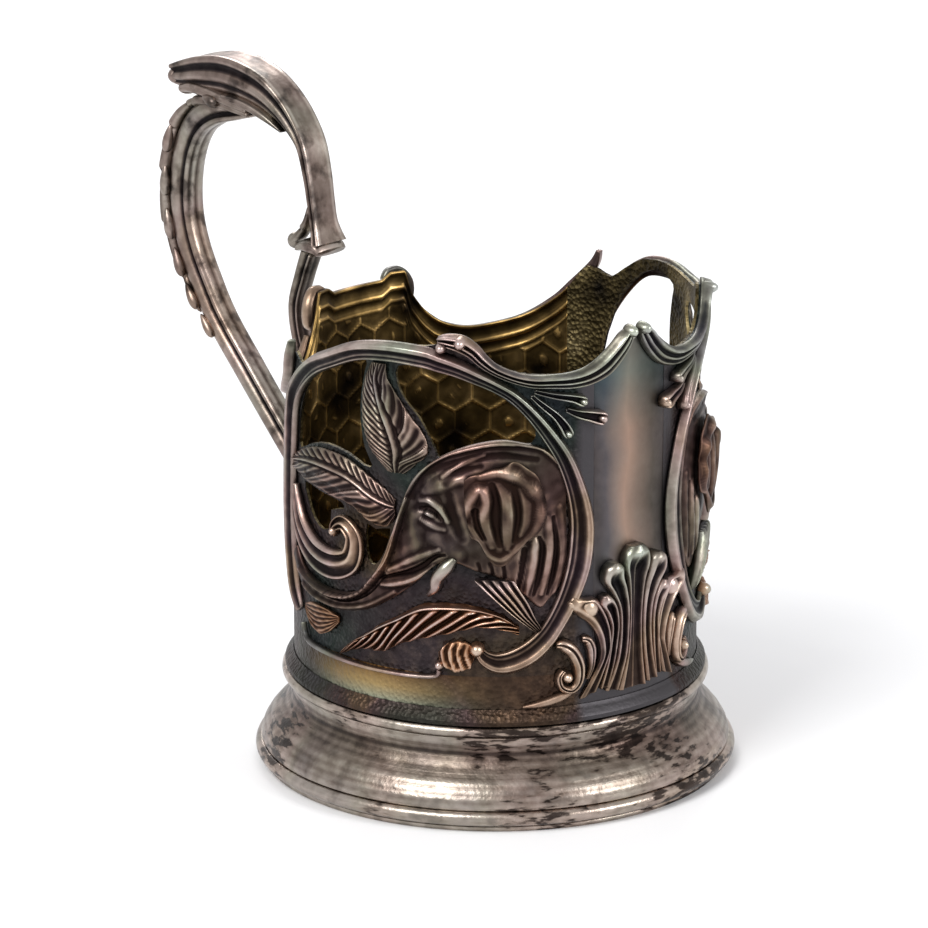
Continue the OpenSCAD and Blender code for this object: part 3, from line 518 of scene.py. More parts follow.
def shell_height(u, v, share):
    return 1.5 * share * (0.5 + 0.3 * np.cos(9 * u + 5 * v) ** 2)


def quill_height(u, v, share):
    return 2.3 * share * (0.55 + 0.4 * np.abs(np.cos(u * 6.3)) ** 0.7)


upright, side_leaf = feather(15, -3.2, 0, 0.34, lobes=3.4), feather(17, -3, -0.3, 0.34, lobes=4.3)
LEAVES = (
    ("upright_feather", "upright_leaf", UPRIGHT, upright, 48, 16, UPRIGHT_FOLDS),
    ("side_feather", "side_leaf", SIDE_LEAF, side_leaf, 48, 16, SIDE_FOLDS),
    ("acanthus_leaf", "acanthus", ACANTHUS, feather(13, -1.15, -0.78, 1, 1.25), 34, 14, [ACANTHUS_STEM]),
    ("shell", "shell_fan", SHELL, shell_height, 20, 9, ())
)
for side in SIDES:
    for name, replaced, edges, height, across, parts, folds in LEAVES:
        relief(side, name, replaced, [leaf_places(side, edges, height, across, parts, strokes=folds)])
    relief(side, "wave", "wave_scroll", [
        moulding_places(side, WAVE, wave_section, across=26, parts=8), bead(side, 90.8, 29.2, 0.8, 1.6)])
    relief(side, "quill_blades", "quills", [leaf_places(side, QUILLS, quill_height, across=44)])
    relief(side, "curl_lobes", "frame_curl", [
        moulding_places(side, CURL, curl_section, across=14, strokes=CURL_LOBES),
        bead(side, 45.9, 12.2, 1.3, 2.4)])
print("pieces so far", len(made))

# %% [markdown]
# ## The elephant's head
#
# The head is a leaf in the same sense: two edges that run from the neck over the brow and down
# the trunk. Its body is nearly flat. The eye, the lids, the mouth, the folds of the neck and the
# two ridges of the trunk are strokes. Fine grooves cross the trunk between its ridges.

# %% Head, ear and tusk
EAR_LIFT = 2.05  # the ear's seat over that of the other relief
EAR_BEFORE, EAR_ABOVE = 50, 27.4  # the angle and the height from which the ear covers the head
HEAD_RISE = 2.5  # the most that the head rises elsewhere
HEAD = [
    [21.4, 42, 21, 27, 0.5, 0.6], [25, 46.2, 23.6, 23, 0.75, -0.6], [29, 47.8, 26.6, 20.6, 0.9, -2],
    [34, 48.7, 29, 19.4, 0.95, -2], [39, 49.2, 33, 21.5, 0.9, -1], [45, 48.7, 40, 24.8, 0.9, 0],
    [51, 47.5, 46, 26, 0.9, 0], [57, 45.5, 51.6, 27.3, 0.9, 0], [62.5, 42.5, 57, 26.8, 0.9, 0],
    [66, 38, 62.4, 23.6, 0.85, 0], [68.5, 32, 67.6, 20.9, 0.85, 0], [72, 27, 72, 19, 0.85, 0],
    [76, 23, 77, 17.2, 0.9, 0], [81, 20, 83, 16, 0.9, 0], [89, 18.6, 91, 15.3, 0.85, 0],
    [99, 18.7, 101, 15.6, 0.8, 0], [108, 19.9, 109.6, 17, 0.7, 0], [113.6, 22.6, 115.6, 20.2, 0.6, 0]
]
EAR = [[b, high, b, low, share] for b, high, low, share in (
    (49, 42.5, 39, 0.6), (47.5, 43.3, 33, 0.9), (45, 43.8, 31.8, 1), (42, 44.6, 28.2, 1),
    (39, 45, 27.6, 1), (36, 46, 29.5, 1), (33, 44.8, 32, 1), (30, 43, 33, 0.9), (27.9, 39, 35.5, 0.6)
)]
TUSK = [
    [51.8, 28.2, 1.2, 0.6], [54, 26.7, 2.4, 1.1], [56.6, 24.6, 2.3, 1.15], [57.4, 22.7, 1.8, 1],
    [59.6, 21.2, 0.8, 0.4]
]
TRUNK_HIGH = [
    [65, 38.2, 1.1, 0.6], [68, 32.5, 1.3, 1.1], [71.3, 26.4, 1.4, 1.3], [76.6, 22, 1.6, 1.2],
    [81.4, 19.5, 1.7, 1.2], [87.4, 18.2, 1.6, 1.2], [96.2, 18, 1.5, 1], [109, 19.3, 1.2, 0.6]
]
TRUNK_LOW = [
    [69, 21.2, 1.3, 0.4], [76, 18.4, 1.6, 0.8], [82, 17, 1.5, 0.9], [89.4, 16.2, 1.4, 0.8],
    [98.2, 16.4, 1.2, 0.8], [106, 17.2, 1, 0.5]
]
HEAD_STROKES = [
    TRUNK_HIGH, TRUNK_LOW,
    [[72, 24, 1.2, -0.4], [78, 19.8, 1, -0.6], [88, 17.4, 0.8, -0.5], [103, 18, 0.7, -0.4]],
    [[77.2, 22.1, 1.2, 0.4], [71.3, 27, 1.5, 0.8], [68.1, 32.5, 1.6, 0.9], [66, 37.8, 1.6, 0.9],
     [62.4, 42.2, 1.6, 0.9], [57.4, 45.3, 1.5, 0.9], [50.6, 47.3, 1.4, 0.8], [40, 48.7, 1.4, 0.8],
     [29.6, 47.8, 1.2, 0.6], [24, 44.8, 1, 0.4]],
    [[63.4, 38.6, 2, -0.2], [58.6, 43.2, 2, -0.3], [50, 45.4, 2, -0.4], [40, 46.6, 2, -0.3],
     [30, 45.8, 1.6, -0.2]],
    [[49.6, 42.3, 2.2, 0.3], [52.6, 42.2, 3.2, 0.5], [56.6, 40.9, 3.2, 0.5], [59.6, 39.8, 2.4, 0.3]],
    [[61.2, 38.2, 1.2, 0.3], [58.4, 38.3, 1.9, 0.8], [55.6, 37, 1.9, 0.8], [53.6, 34.9, 1.4, 0.4]],
    [[60.9, 36.8, 1.2, -0.5], [58, 36.6, 1.5, -0.9], [55.2, 35.2, 1.2, -0.5]],
    [[58.9, 36.3, 1.9, 0.95], [57.7, 36, 1.9, 0.95]],
    [[60.8, 35, 1.2, 0.3], [58, 34, 1.7, 0.5], [54.6, 33.4, 1.2, 0.3]],
    [[62.4, 35.2, 3.6, 0.3], [63.6, 31, 4.6, 0.5], [65.6, 27.6, 3.6, 0.3]],
    [[57, 32, 4, 0.3], [54.6, 30.2, 4.6, 0.4], [51, 29, 3.6, 0.3]],
    [[53.2, 39.2, 2.4, -0.2], [52.2, 35.8, 3.2, -0.5], [49.8, 32, 2.4, -0.2]],
    [[73.2, 23.3, 0.7, -0.4], [69, 24.2, 1, -0.9], [64.5, 25.2, 1.2, -1.2], [60.6, 26.6, 1.2, -1.2],
     [57.4, 28.2, 1, -0.9], [54.6, 28.8, 0.8, -0.4]],
    [[72.6, 22.3, 1.2, 0.4], [69, 22.7, 1.9, 0.9], [64.5, 23.6, 2, 1], [60.4, 25.1, 1.8, 0.9],
     [57.6, 26.6, 1.2, 0.4]],
    [[70.4, 25.2, 1.4, 0.3], [65, 27, 1.8, 0.5], [60, 28.6, 1.8, 0.5], [56, 29.8, 1.2, 0.3]],
    [[45, 44.8, 1.8, -0.2], [50, 43.8, 2, -0.35], [54, 41.6, 1.8, -0.2]],
    [[44, 46.6, 1.2, 0.3], [50, 45.1, 1.4, 0.4], [55, 42.8, 1.2, 0.3]]
]
NECK_RIDGE = [[0, 38, 1.6, 0.2], [-0.9, 31, 2.2, 0.55], [0, 26, 2, 0.55], [1.4, 22, 1.2, 0.3]]
NECK_GROOVE = [[0, 36.4, 1, -0.3], [-0.9, 30, 1.4, -0.5], [0, 25.4, 1.3, -0.5], [1.4, 21.8, 0.8, -0.3]]
CHEEK_GROOVE = [[0, 27.6, 0.8, -0.2], [-0.6, 25.4, 0.9, -0.45], [1, 23.4, 0.6, -0.3]]
EAR_STROKES = [
    [[44.6, 43.4, 2, 0.3], [40.6, 44.1, 2.6, 0.6], [36.9, 43.8, 3.6, 1.05], [34, 42.5, 2.4, 0.5],
     [31.2, 41, 3.6, 1.05], [29.8, 39, 2.5, 0.6], [29.4, 36.8, 3.4, 1.05], [30.8, 34.1, 2.1, 0.5],
     [33.8, 31.8, 1.8, 0.5], [36.9, 29.9, 1.8, 0.5], [39.4, 28.8, 1.7, 0.5], [42.6, 29.6, 1.6, 0.5],
     [45.2, 32.2, 1.6, 0.4], [48, 35, 1.4, 0.3]],
    [[48.8, 36.4, 2.2, 0.5], [47.4, 39.2, 2.9, 1], [44.9, 41.2, 3, 1.05], [43.3, 39.2, 2.8, 0.95],
     [44, 36.4, 2.7, 0.8], [42.7, 33.6, 2.5, 0.6], [41.9, 31.2, 1.6, 0.3]],
    [[39.8, 42, 2, 0.2], [38.4, 39.6, 3, 0.6], [37.3, 36.8, 3.2, 0.75], [38, 33.4, 2.8, 0.6],
     [37.8, 30.8, 1.6, 0.3]],
    [[34.6, 41, 2, 0.1], [33.4, 38.4, 2.8, 0.4], [33.2, 36, 2.8, 0.45], [34.6, 33.4, 2, 0.2]],
    [[41.8, 42, 1.6, -0.3], [40.9, 39.2, 2.2, -0.6], [40.8, 34.8, 2.2, -0.7], [39.8, 31.4, 1.4, -0.3]],
    [[36.2, 41.6, 1.6, -0.3], [35.5, 39.4, 2.1, -0.5], [35.3, 35.8, 2.1, -0.55], [36, 32.2, 1.4, -0.3]],
    [[46, 37.4, 1.7, -0.5], [45.6, 35, 1.6, -0.5], [43.9, 32.6, 1.3, -0.3]]
]


def groove_across(path, i, half=0.9):
    """A fine groove straight across a path, at row number i; i may lie between rows."""
    k = int(i)
    a, c = np.array(path[k][:2]), np.array(path[k + 1][:2])
    way = flat(*c) - flat(*a)
    reach = np.array([-way[1] / DEG, way[0]]) * half / np.linalg.norm(way)
    spot = a + (c - a) * (i - k)
    return [[*(spot + end * reach), 0.45, -0.14] for end in (-1, 1)]


def fold(path, b, drop=0.0):
    """A path whose angles are counted from b, with its first place let down by drop."""
    first, *more = [[b + x, *row] for x, *row in path]
    return [[first[0], first[1] - drop, *first[2:]], *more]


HEAD_STROKES += [fold(NECK_RIDGE, b, 0.9 * abs(b - 24.5)) for b in (23.6, 27.3, 31.4)]
HEAD_STROKES += [fold(NECK_GROOVE, b, 0.9 * abs(b - 24.5)) for b in (25.5, 29.3, 34.2)]
HEAD_STROKES += [fold(CHEEK_GROOVE, b) for b in (39, 42.4, 45.6)]
HEAD_STROKES += [groove_across(TRUNK_HIGH, 1 + 4.6 * k / 14) for k in range(15)]


def head_places(side):
    """A leaf whose rows bow by their last number, kept low where the ear covers it."""
    rows, u, b, t = leaf_grid(HEAD, 96, 14)
    b = b + rows[:, None, 5] * (1 - u ** 2) / SPREAD[side]
    body = 0.22 + 0.48 * np.sqrt(np.maximum(1 - np.abs(u) ** 2.4, 0))
    h = FULL_RISE * rows[:, 4][:, None] * body + chase(flat(b, t), HEAD_STROKES)
    h += 0.05 * np.sin(1.3 * b + 0.9 * t) * np.sin(1.5 * t - 0.5 * b) * (1 - u ** 2)
    under_ear = (b < EAR_BEFORE) & (t > EAR_ABOVE)
    return closed_rows(side, b, t, np.clip(h, LEAST_HEAD, np.where(under_ear, FULL_RISE, HEAD_RISE)))


def ear_height(u, v, share):
    return 1.3 * share * (0.24 + 0.34 * (1 - u ** 4))


for side in SIDES:
    relief(side, "elephant", "elephant_head", [head_places(side)])
    relief(side, "ear_flap", "ear", [
        leaf_places(side, EAR, ear_height, 72, 13, seat=SEAT_R + EAR_LIFT, strokes=EAR_STROKES)])
    relief(side, "tusk_tip", "tusk", [moulding_places(side, TUSK, round_section, across=12)])
print("head grid", [len(o.data.polygons) for o in made[-3:]])

# %% [markdown]
# ## Rear rim
#
# Between the side plates and the handle the rim hangs in a swag on each side. A place on it is a
# share of the way from the side plate to the volute, so the same rows serve both sides.

# %% Rear swags and volutes
REAR_ANGLE, VOLUTE_ANGLE, VOLUTE_HALF = 180, 15.5, 4  # the handle, the volutes beside it
SWAG_START, PANEL_START = 117, 125  # degrees from the cartouche's middle
REAR_SWAG = [
    [-0.03, 59.2, 0.7, 0.8], [0, 56.8, 1.8, 1.1], [0.1, 53.2, 3.2, 1], [0.2, 50.7, 3.2, 1],
    [0.35, 48.3, 3.2, 1], [0.5, 47.3, 3.2, 1], [0.68, 47.1, 3.2, 1], [0.82, 48.5, 3.1, 1],
    [0.9, 50.6, 2.6, 1], [0.96, 53, 1.8, 0.8]
]
REAR_VOLUTE = [
    [11.6, 58.9, 1.2, 0.7], [13.6, 60.2, 1.8, 0.9], [16.8, 60, 2, 1], [19.2, 57.8, 2, 1],
    [18.8, 55, 1.9, 1], [16, 54, 1.7, 0.95], [14.2, 55.8, 1.4, 0.9], [15.3, 57.6, 1.1, 0.9]
]
REAR_RIM = [
    [0, 57.2], [0.1, 54.6], [0.2, 52.2], [0.35, 49.9], [0.5, 49], [0.68, 48.8], [0.82, 50.2],
    [0.92, 52.8], [1, 56.4]
]
CROWN = [
    [-17.5, 60.6], [-12.6, 60.6], [-9.625, 59.4], [0, 59.4], [9.625, 59.4], [12.6, 60.6], [17.5, 60.6]
]


def rear_angle(side, share):
    start = float(chart_angle(side, SWAG_START))
    return start + (side * (REAR_ANGLE - VOLUTE_ANGLE - VOLUTE_HALF) - start) * np.asarray(share, float)


def rear_lift(side, share, t):
    """The height, raised towards the right side's far shoulder."""
    rest = np.maximum(1 - np.asarray(share, float), 0)
    return np.asarray(t, float) + (0 if side < 0 else SHOULDER_RISE * rest ** 2)


def rear_line(side):
    """The rear rim of one side: rows of angle and height."""
    share, t = smooth(REAR_RIM, 4).T
    return np.stack([rear_angle(side, share) + (0 if side > 0 else 360), rear_lift(side, share, t)], -1)


for side in SIDES:
    swag = [[float(rear_angle(side, x)), float(rear_lift(side, x, t)), *more] for x, t, *more in REAR_SWAG]
    coil = [[side * (REAR_ANGLE - b), *more] for b, *more in REAR_VOLUTE]
    relief(side, "rear_ribbon", "rear_swag", [
        moulding_places(0, swag, lambda u: swag_section(u * side), across=20)])
    relief(side, "rear_coil", "rear_volute", [
        moulding_places(0, coil, hollow_section, across=14),
        bead(0, side * (REAR_ANGLE - 16), 56.3, 1.1, 2.4)])
half_turn = VOLUTE_ANGLE - VOLUTE_HALF - 1.4
lip = [[REAR_ANGLE + x * half_turn, 58.5, 1.6, 0.55] for x in (-1, -0.5, 0, 0.5, 1)]
build("rear_lip", "gilt_silver", ["rear_wall_rim"], [moulding_places(0, lip, round_section, across=10)])
print("rear pieces", [o.name for o in made[-5:]])

# %% [markdown]
# ## The sheets
#
# The sheets are rolled grids as well: their columns climb the inside and come down the outside. On
# the rear wall the inside is stamped with a honeycomb, so the cells are sunk a quarter millimetre
# and the walls between them stay at the bore. Two pieces also get a number per vertex that their
# material reads: how far across the cartouche a place lies, by which a highlight is painted across
# it, and how near a place lies to the golden reflection painted on the lower band.

# %% Rear wall, cartouche and lower band
CELL, TWO_ROWS = 6.5, 6.5 * 1.732  # width of a honeycomb cell, height of two rows of them
BAND_FOOT_Z = 16.15
PAINTED_REFLECTION_TURN, PAINTED_REFLECTION_WIDTH = -81, 19  # in degrees, the golden reflection painted on the lower band
FRONT_RIM = [[0, 64.6], [3, 65.4], [6, 63.8], [10, 61.8], [15, 60.4], [22, 60], [30, 60.2]]


def smooth_face(angle, z):
    """A sink of nothing, for sheets that are plain inside."""
    return 0 * z


def sheet_places(angles, low, high, up, sink=smooth_face):
    """A piece of the tube between two heights, with its inner face sunk by sink(angle, height)."""
    v = np.linspace(0, 1, up)
    z = low + (np.asarray(high)[:, None] - low) * v[None, :]
    a = np.repeat(np.asarray(angles)[:, None], up, 1)
    inner = on_tube(a, z, BORE_R + sink(a, z))
    outer = on_tube(a[:, ::-1], z[:, ::-1], SHEET_R + 0 * a)
    return np.concatenate([inner, outer], axis=1)


def honeycomb(angle, z):
    """0 on the walls of the cells and 1 in their grounds, with a boss in some cells."""
    x = angle * DEG
    best, second = np.full(x.shape, 99.0), np.full(x.shape, 99.0)
    for right, up in ((0, 0), (CELL / 2, TWO_ROWS / 2)):
        for i in (-1, 0, 1):
            for j in (-1, 0, 1):
                middle_x = (np.round((x - right) / CELL) + i) * CELL + right
                middle_z = (np.round((z - up) / TWO_ROWS) + j) * TWO_ROWS + up
                d = np.hypot(x - middle_x, z - middle_z)
                other = np.minimum(second, np.where(d > best + 1e-6, d, second))
                second = np.where(d < best, best, other)
                best = np.minimum(best, d)
    boss = np.where(np.sin(angle * 0.9) * np.cos(z * 0.7) > 0.35, ease((1.5 - best) / 0.7), 0)
    return ease((second - best) / 0.85) * (1 - 0.8 * boss)


start, end = float(chart_angle(1, PANEL_START)), float(chart_angle(-1, PANEL_START)) + 360
rear_rim = np.concatenate([rear_line(1), np.array(CROWN) + (REAR_ANGLE, 0), rear_line(-1)[::-1]])
turn = np.linspace(start, end, 241)
rim = SLEEVE_Z + np.interp(turn, rear_rim[:, 0], rear_rim[:, 1])


def rear_sink(angle, z):
    """Two hollow mouldings follow the rim inside, and the honeycomb starts under them."""
    below = np.interp(angle, turn, rim) - z
    ridges = bump(below, 0.2, 0.5) + bump(below, 3.1, 0.55) + 0.8 * bump(below, 5.4, 0.45)
    cells = ease((below - 5.6) / 0.6)
    return 0.5 * np.clip(1 - ridges, 0, 1) * (1 - cells) + 0.25 * cells * honeycomb(angle, z)


def turns_of(piece):
    """Each vertex's turn about the axis, in degrees."""
    places = np.array([v.co for v in piece.data.vertices])
    return np.degrees(np.arctan2(places[:, 1], places[:, 0]))


def add_layer(piece, name, values):
    piece.data.attributes.new(name, "FLOAT", "POINT").data.foreach_set("value", values)


build("rear_wall", "gilt_silver", ["rear_panel"], [sheet_places(turn, BAND_Z, rim, 130, rear_sink)])
edge = np.linspace(float(chart_angle(-1, NEAR)), float(chart_angle(1, NEAR)), 61)
front = smooth(FRONT_RIM, 4)
front_z = np.interp(np.abs(edge - FRONT_TURN), front[:, 0], front[:, 1]) + SLEEVE_Z
panel = build("cartouche", "satin_silver", ["cartouche_panel"], [sheet_places(edge, BAND_Z, front_z, 80)])
# how far across the cartouche a place lies, by which its material paints a highlight
add_layer(panel, "across", np.clip((turns_of(panel) - FRONT_TURN) / (2 * NEAR) + 0.5, 0, 1))
band_places = sheet_places(np.linspace(0, 360, 361), BAND_FOOT_Z, np.full(361, BAND_Z), 8)
band = build("band", "dark_silver", ["sleeve_band"], [band_places])
# where the golden reflection is painted on the band
add_layer(band, "glow", np.exp(-((turns_of(band) - PAINTED_REFLECTION_TURN) / PAINTED_REFLECTION_WIDTH) ** 2))
print("sheets", [len(o.data.polygons) for o in made[-3:]])

# %% [markdown]
# ## The spun foot
#
# Everything round is spun: an outline of distances and heights is turned about the axis.

# %% Foot, collar and floor
NECK_R, SKIRT_R, SKIRT_Z, SKIRT_H = 35.8, 41.31, 3.85, 11.35  # the skirt's radii, lower edge, height
STEP_R, STEP_Z = 35.55, 17.5  # where the step's outline starts
SKIRT = [
    [0.1, 1], [0.03, 0.85], [0, 0.72], [0.13, 0.6], [0.36, 0.48], [0.6, 0.38], [0.78, 0.28], [0.91, 0.18],
    [0.98, 0.09], [1, 0]
]
STEP = [[0.72, 0.02], [0.7, 0.28], [0.42, 0.58], [0.16, 0.8], [0, 1]]
REST_RING = [
    (38.6, 0), (40.7, 0), (40.9, 0.2), (40.9, 0.75), (40.7, 0.95), (39.6, 0.95), (39.6, 3.5), (39.4, 3.7),
    (38.6, 3.7)
]
FLOOR = [
    (0.01, 15.2), (35.4, 15.2), (35.4, 16), (34.3, 16), (34.3, 16.1), (33.5, 16.1), (33, 15.95),
    (24, 15.95), (23.5, 16.1), (12, 16.1), (11.6, 16), (0.01, 16)
]


def spun(name, slot, replaces, outline):
    """outline: a closed loop of radius and height in millimetres."""
    bm = bmesh.new()
    verts = [bm.verts.new((r * MM, 0, z * MM)) for r, z in outline]
    edges = [bm.edges.new(pair) for pair in zip(verts, verts[1:] + verts[:1])]
    bmesh.ops.spin(bm, geom=verts + edges, cent=(0, 0, 0), axis=(0, 0, 1), angle=2 * math.pi, steps=256,
                   use_merge=True)
    return finish_piece(bm, name, slot, replaces, merge=1e-7)


def ring(r, z, d, count=20):
    """The outline of a round wire of diameter d."""
    turns = [2 * math.pi * k / count for k in range(count)]
    return [(r + d / 2 * math.cos(a), z + d / 2 * math.sin(a)) for a in turns]


def skirt_row(x, up, inward):
    """Radius and height of a place on the skirt, from shares."""
    return NECK_R + (SKIRT_R - NECK_R) * x - inward, SKIRT_Z + SKIRT_H * up


skirt = smooth(SKIRT, 5)
outer = [skirt_row(x, up, 0.05 * (0.5 + 0.5 * math.cos(60 * up))) for x, up in skirt]
inner = [skirt_row(x, up, 1) for x, up in skirt[::-1] if 0.09 < up < 0.93]
spun("foot_flare", "foot_silver", ["foot_skirt"],
     [*outer, (38.6, 3.85), (38.6, 4.85), *inner, (34.8, 14.2), (32.6, 14.2), (32.6, 15.2)])
spun("rim_wire", "foot_silver", ["foot_rim_wire"], ring(41.05, 2.4, 2.6))
spun("rest_ring", "foot_silver", ["foot_rest_ring"], REST_RING)
spun("bead_wire", "foot_silver", ["collar_bead"], ring(36.55, 16.35, 2))
step = [(STEP_R + 2 * x, STEP_Z + 2.6 * up) for x, up in smooth(STEP, 4)]
spun("collar_step", "dark_silver", ["step_ring"], [(STEP_R, STEP_Z), (36.9, STEP_Z), *step])
spun("floor", "gilt_silver", ["floor_plate"], FLOOR)
print("spun", [len(o.data.polygons) for o in made[-6:]])

# %% [markdown]
# ## The handle
#
# The handle is swept: a section travels along a path in the plane y = 0. Each row of the path
# holds a distance out from the seam strip as a share of the handle's reach, a height as a share of
# the crest's height, and the section's thickness and width. The crest has a polished strip with
# ridges under it, and the limb has two bright bands with a groove between them.

# %% Rows and sections of the handle
WALL_R, REACH, CREST_Z = 36.15, 81.8, 111.3
CREST_SIZE, LIMB_SIZE, THUMB_SIZE = (6.2, 6.5), (5, 4.4), (5, 9)  # thickness and width
CREST = [
    [0.139, 0.762, 0.5, 1.16], [0.1506, 0.779, 0.4, 1], [0.1632, 0.798, 0.36, 0.9],
    [0.1775, 0.83, 0.37, 0.9], [0.1972, 0.873, 0.4, 0.93], [0.2384, 0.922, 0.5, 0.95],
    [0.3316, 0.962, 0.78, 0.97], [0.4481, 0.989, 1.04, 1], [0.5664, 1.001, 1.16, 1.04],
    [0.6775, 1.004, 1.16, 1.04], [0.8029, 0.998, 1.04, 0.97], [0.9176, 0.988, 0.84, 0.86],
    [0.975, 0.984, 0.66, 0.8]
]
LIMB = [
    [0.4983, 0.9545, 0.36, 0.9], [0.6237, 0.949, 0.82, 1.05], [0.7599, 0.935, 1, 1.1],
    [0.8566, 0.908, 1.06, 1.1], [0.9158, 0.866, 1.06, 1.1], [0.9462, 0.812, 1.06, 1.1],
    [0.9445, 0.754, 1.04, 1.1], [0.9068, 0.699, 1.04, 1.1], [0.8351, 0.643, 1.04, 1.08],
    [0.7438, 0.586, 1.04, 1.06], [0.595, 0.519, 1.02, 1.05], [0.4535, 0.457, 1, 1.05],
    [0.3012, 0.392, 0.98, 1.06], [0.1757, 0.341, 0.96, 1.1], [0.079, 0.309, 0.98, 1.2],
    [0.0109, 0.296, 1, 1.3]
]
OUTER_LEAF = [
    [2.1, 0.14, 0.95], [2.6, 0.34, 1.1], [3.2, 0.5, 1.25], [4, 0.56, 1.3], [5, 0.56, 1.3],
    [6, 0.56, 1.25], [7, 0.46, 1.15], [8, 0.32, 1], [8.6, 0.18, 0.8]
]
HOOK = [
    [0.2152, 0.818, 0.2, 0.7], [0.2367, 0.79, 0.3, 0.75], [0.2797, 0.768, 0.4, 0.75],
    [0.3137, 0.754, 0.34, 0.66]
]
THUMB = [
    [0.115, 0.75, 0.36, 0.8], [0.1378, 0.7565, 0.52, 0.86], [0.1778, 0.7575, 0.54, 0.84],
    [0.2216, 0.7555, 0.46, 0.72], [0.2623, 0.748, 0.26, 0.58]
]
BRACKET = [
    [0.2223, 0.742, 0.6, 0.82], [0.2635, 0.7, 0.56, 0.8], [0.303, 0.645, 0.54, 0.77],
    [0.2779, 0.585, 0.52, 0.75], [0.208, 0.528, 0.5, 0.75], [0.122, 0.482, 0.5, 0.8],
    [0.0593, 0.462, 0.54, 0.85], [0.01, 0.456, 0.6, 0.9]
]
# Half sections: share of the thickness, share of the width, from the outer face to the inner
CREST_HALF = [
    (0.94, 0), (0.95, 0.3), (0.96, 0.6), (1, 0.78), (0.97, 0.93), (0.84, 1), (0.68, 0.97), (0.56, 0.84),
    (0.42, 0.77), (0.28, 0.8), (0.14, 0.9), (0, 0.97), (-0.16, 0.98), (-0.3, 0.9), (-0.42, 0.74),
    (-0.54, 0.72), (-0.66, 0.76), (-0.8, 0.66), (-0.93, 0.45), (-1, 0.2), (-1, 0)
]
LIMB_HALF = [
    (0.82, 0), (0.84, 0.18), (0.98, 0.34), (1, 0.56), (0.9, 0.76), (0.74, 0.9), (0.54, 0.98), (0.3, 1),
    (0.1, 0.95), (-0.06, 0.82), (-0.18, 0.66), (-0.32, 0.62), (-0.44, 0.74), (-0.54, 0.88), (-0.68, 0.93),
    (-0.82, 0.84), (-0.92, 0.6), (-0.94, 0.3), (-0.9, 0)
]
PLAIN_HALF = [
    (1, 0), (0.97, 0.35), (0.85, 0.65), (0.6, 0.88), (0.25, 1), (0, 0.92), (-0.25, 1), (-0.6, 0.88),
    (-0.85, 0.65), (-0.97, 0.35), (-1, 0)
]


def handle_rows(rows, size):
    """Path rows in millimetres, from rows of shares."""
    return np.array(rows) * (REACH - WALL_R, CREST_Z, *size) + (WALL_R, 0, 0, 0)


def even(v, s, w):
    """A wave that changes nothing."""
    return s, w


def sweep_places(rows, half, parts=8, wave=even):
    """wave(v, s, w) changes the section's thickness s and width w along the sweep."""
    rows = smooth(rows, parts)
    loop = np.array([*half, *((s, -w) for s, w in half[-2:0:-1])])
    way = np.gradient(rows[:, :2], axis=0)
    way /= np.linalg.norm(way, axis=1, keepdims=True)
    normal = np.stack([-way[:, 1], way[:, 0]], -1)
    v = np.linspace(0, 1, len(rows))[:, None]
    s, w = wave(v, loop[None, :, 0] + 0 * v, loop[None, :, 1] + 0 * v)
    q = rows[:, None, :2] + normal[:, None] * (s * rows[:, 2:3] / 2)[..., None]
    return np.stack([-q[..., 0], w * rows[:, 3:4] / 2, q[..., 1]], -1) * MM


print("the crest has", len(CREST), "rows and the limb", len(LIMB))

# %% [markdown]
# The leaves on the outer side overlap like tiles: along the strip each one rises to its tip and
# then drops to the next. Small drops hang beside them, and beads end the curled lips of the crest.

# %% The pieces of the handle
LIPS = [
    [[77.8, 107.6, 2, 5.6], [75.4, 108.1, 2.5, 6.1], [71, 107.9, 2.6, 6.3], [66, 107.2, 2.4, 6.2],
     [60.6, 106.4, 1.4, 5.8]],
    [[75, 105.6, 1.9, 4.9], [72.6, 106.2, 2.4, 5.4], [69, 106.4, 2.4, 5.6], [65, 106, 2, 5.4],
     [60.6, 105.4, 1.2, 5]],
    [[66.8, 108, 1, 6.2], [63.4, 107.8, 1.8, 6.9], [59.4, 107.1, 2, 6.9], [55.2, 105.8, 1.7, 6.6],
     [51.4, 104, 0.3, 5.4]]
]
# Beads: distance out, height, radius, stretch. Drops: distance out, height, lean, length, thickness
LIP_ENDS = [[80.6, 109.3, 1.75, 1.55], [78, 107.5, 1.35, 2], [75.2, 105.4, 1.2, 1.9]]
FINGER_DROP = (69.6, 106.8, 74, 4, 2)
EDGE_DROPS = [
    [81.6, 97.6, -14, 5.6, 2], [82.6, 89.6, 0, 5.8, 2.1], [81.8, 81.6, 14, 5.8, 2.1],
    [79.4, 74.8, 24, 5.6, 2], [76, 69, 34, 5.4, 1.9], [72, 64.2, 40, 5, 1.7]
]


def outer_rows(limb):
    """A path on the limb's outer side, from places along the limb's rows, thickness and width."""
    out = []
    for i, thick, wide in OUTER_LEAF:
        p = curve_at(limb, i)
        way = curve_at(limb, i + 0.05)[:2] - p[:2]
        way /= np.linalg.norm(way)
        spot = p[:2] + np.array([-way[1], way[0]]) * (p[2] / 2 + 0.15 + thick * LIMB_SIZE[0] / 2)
        out.append([*spot, thick * LIMB_SIZE[0], wide * LIMB_SIZE[1]])
    return out


def leaf_wave(count):
    """Overlapping leaf tips along the strip."""
    def wave(v, s, w):
        tip = (count * v) % 1.0
        lobe = (0.62 + 0.38 * tip ** 1.4 * ease((1 - tip) * 8)) * (1 - 0.2 * bump(np.abs(w), 0.45, 0.16))
        return np.where(s > 0, s * lobe, s), w * (0.78 + 0.22 * np.sqrt(tip) * ease((1 - tip) * 7))
    return wave


def texture_wave(v, s, w):
    """Fine ribs along the middle of the outer face."""
    return s * (1 + 0.03 * np.cos(2 * np.pi * 70 * v) * (np.abs(w) < 0.2) * (s > 0)), w


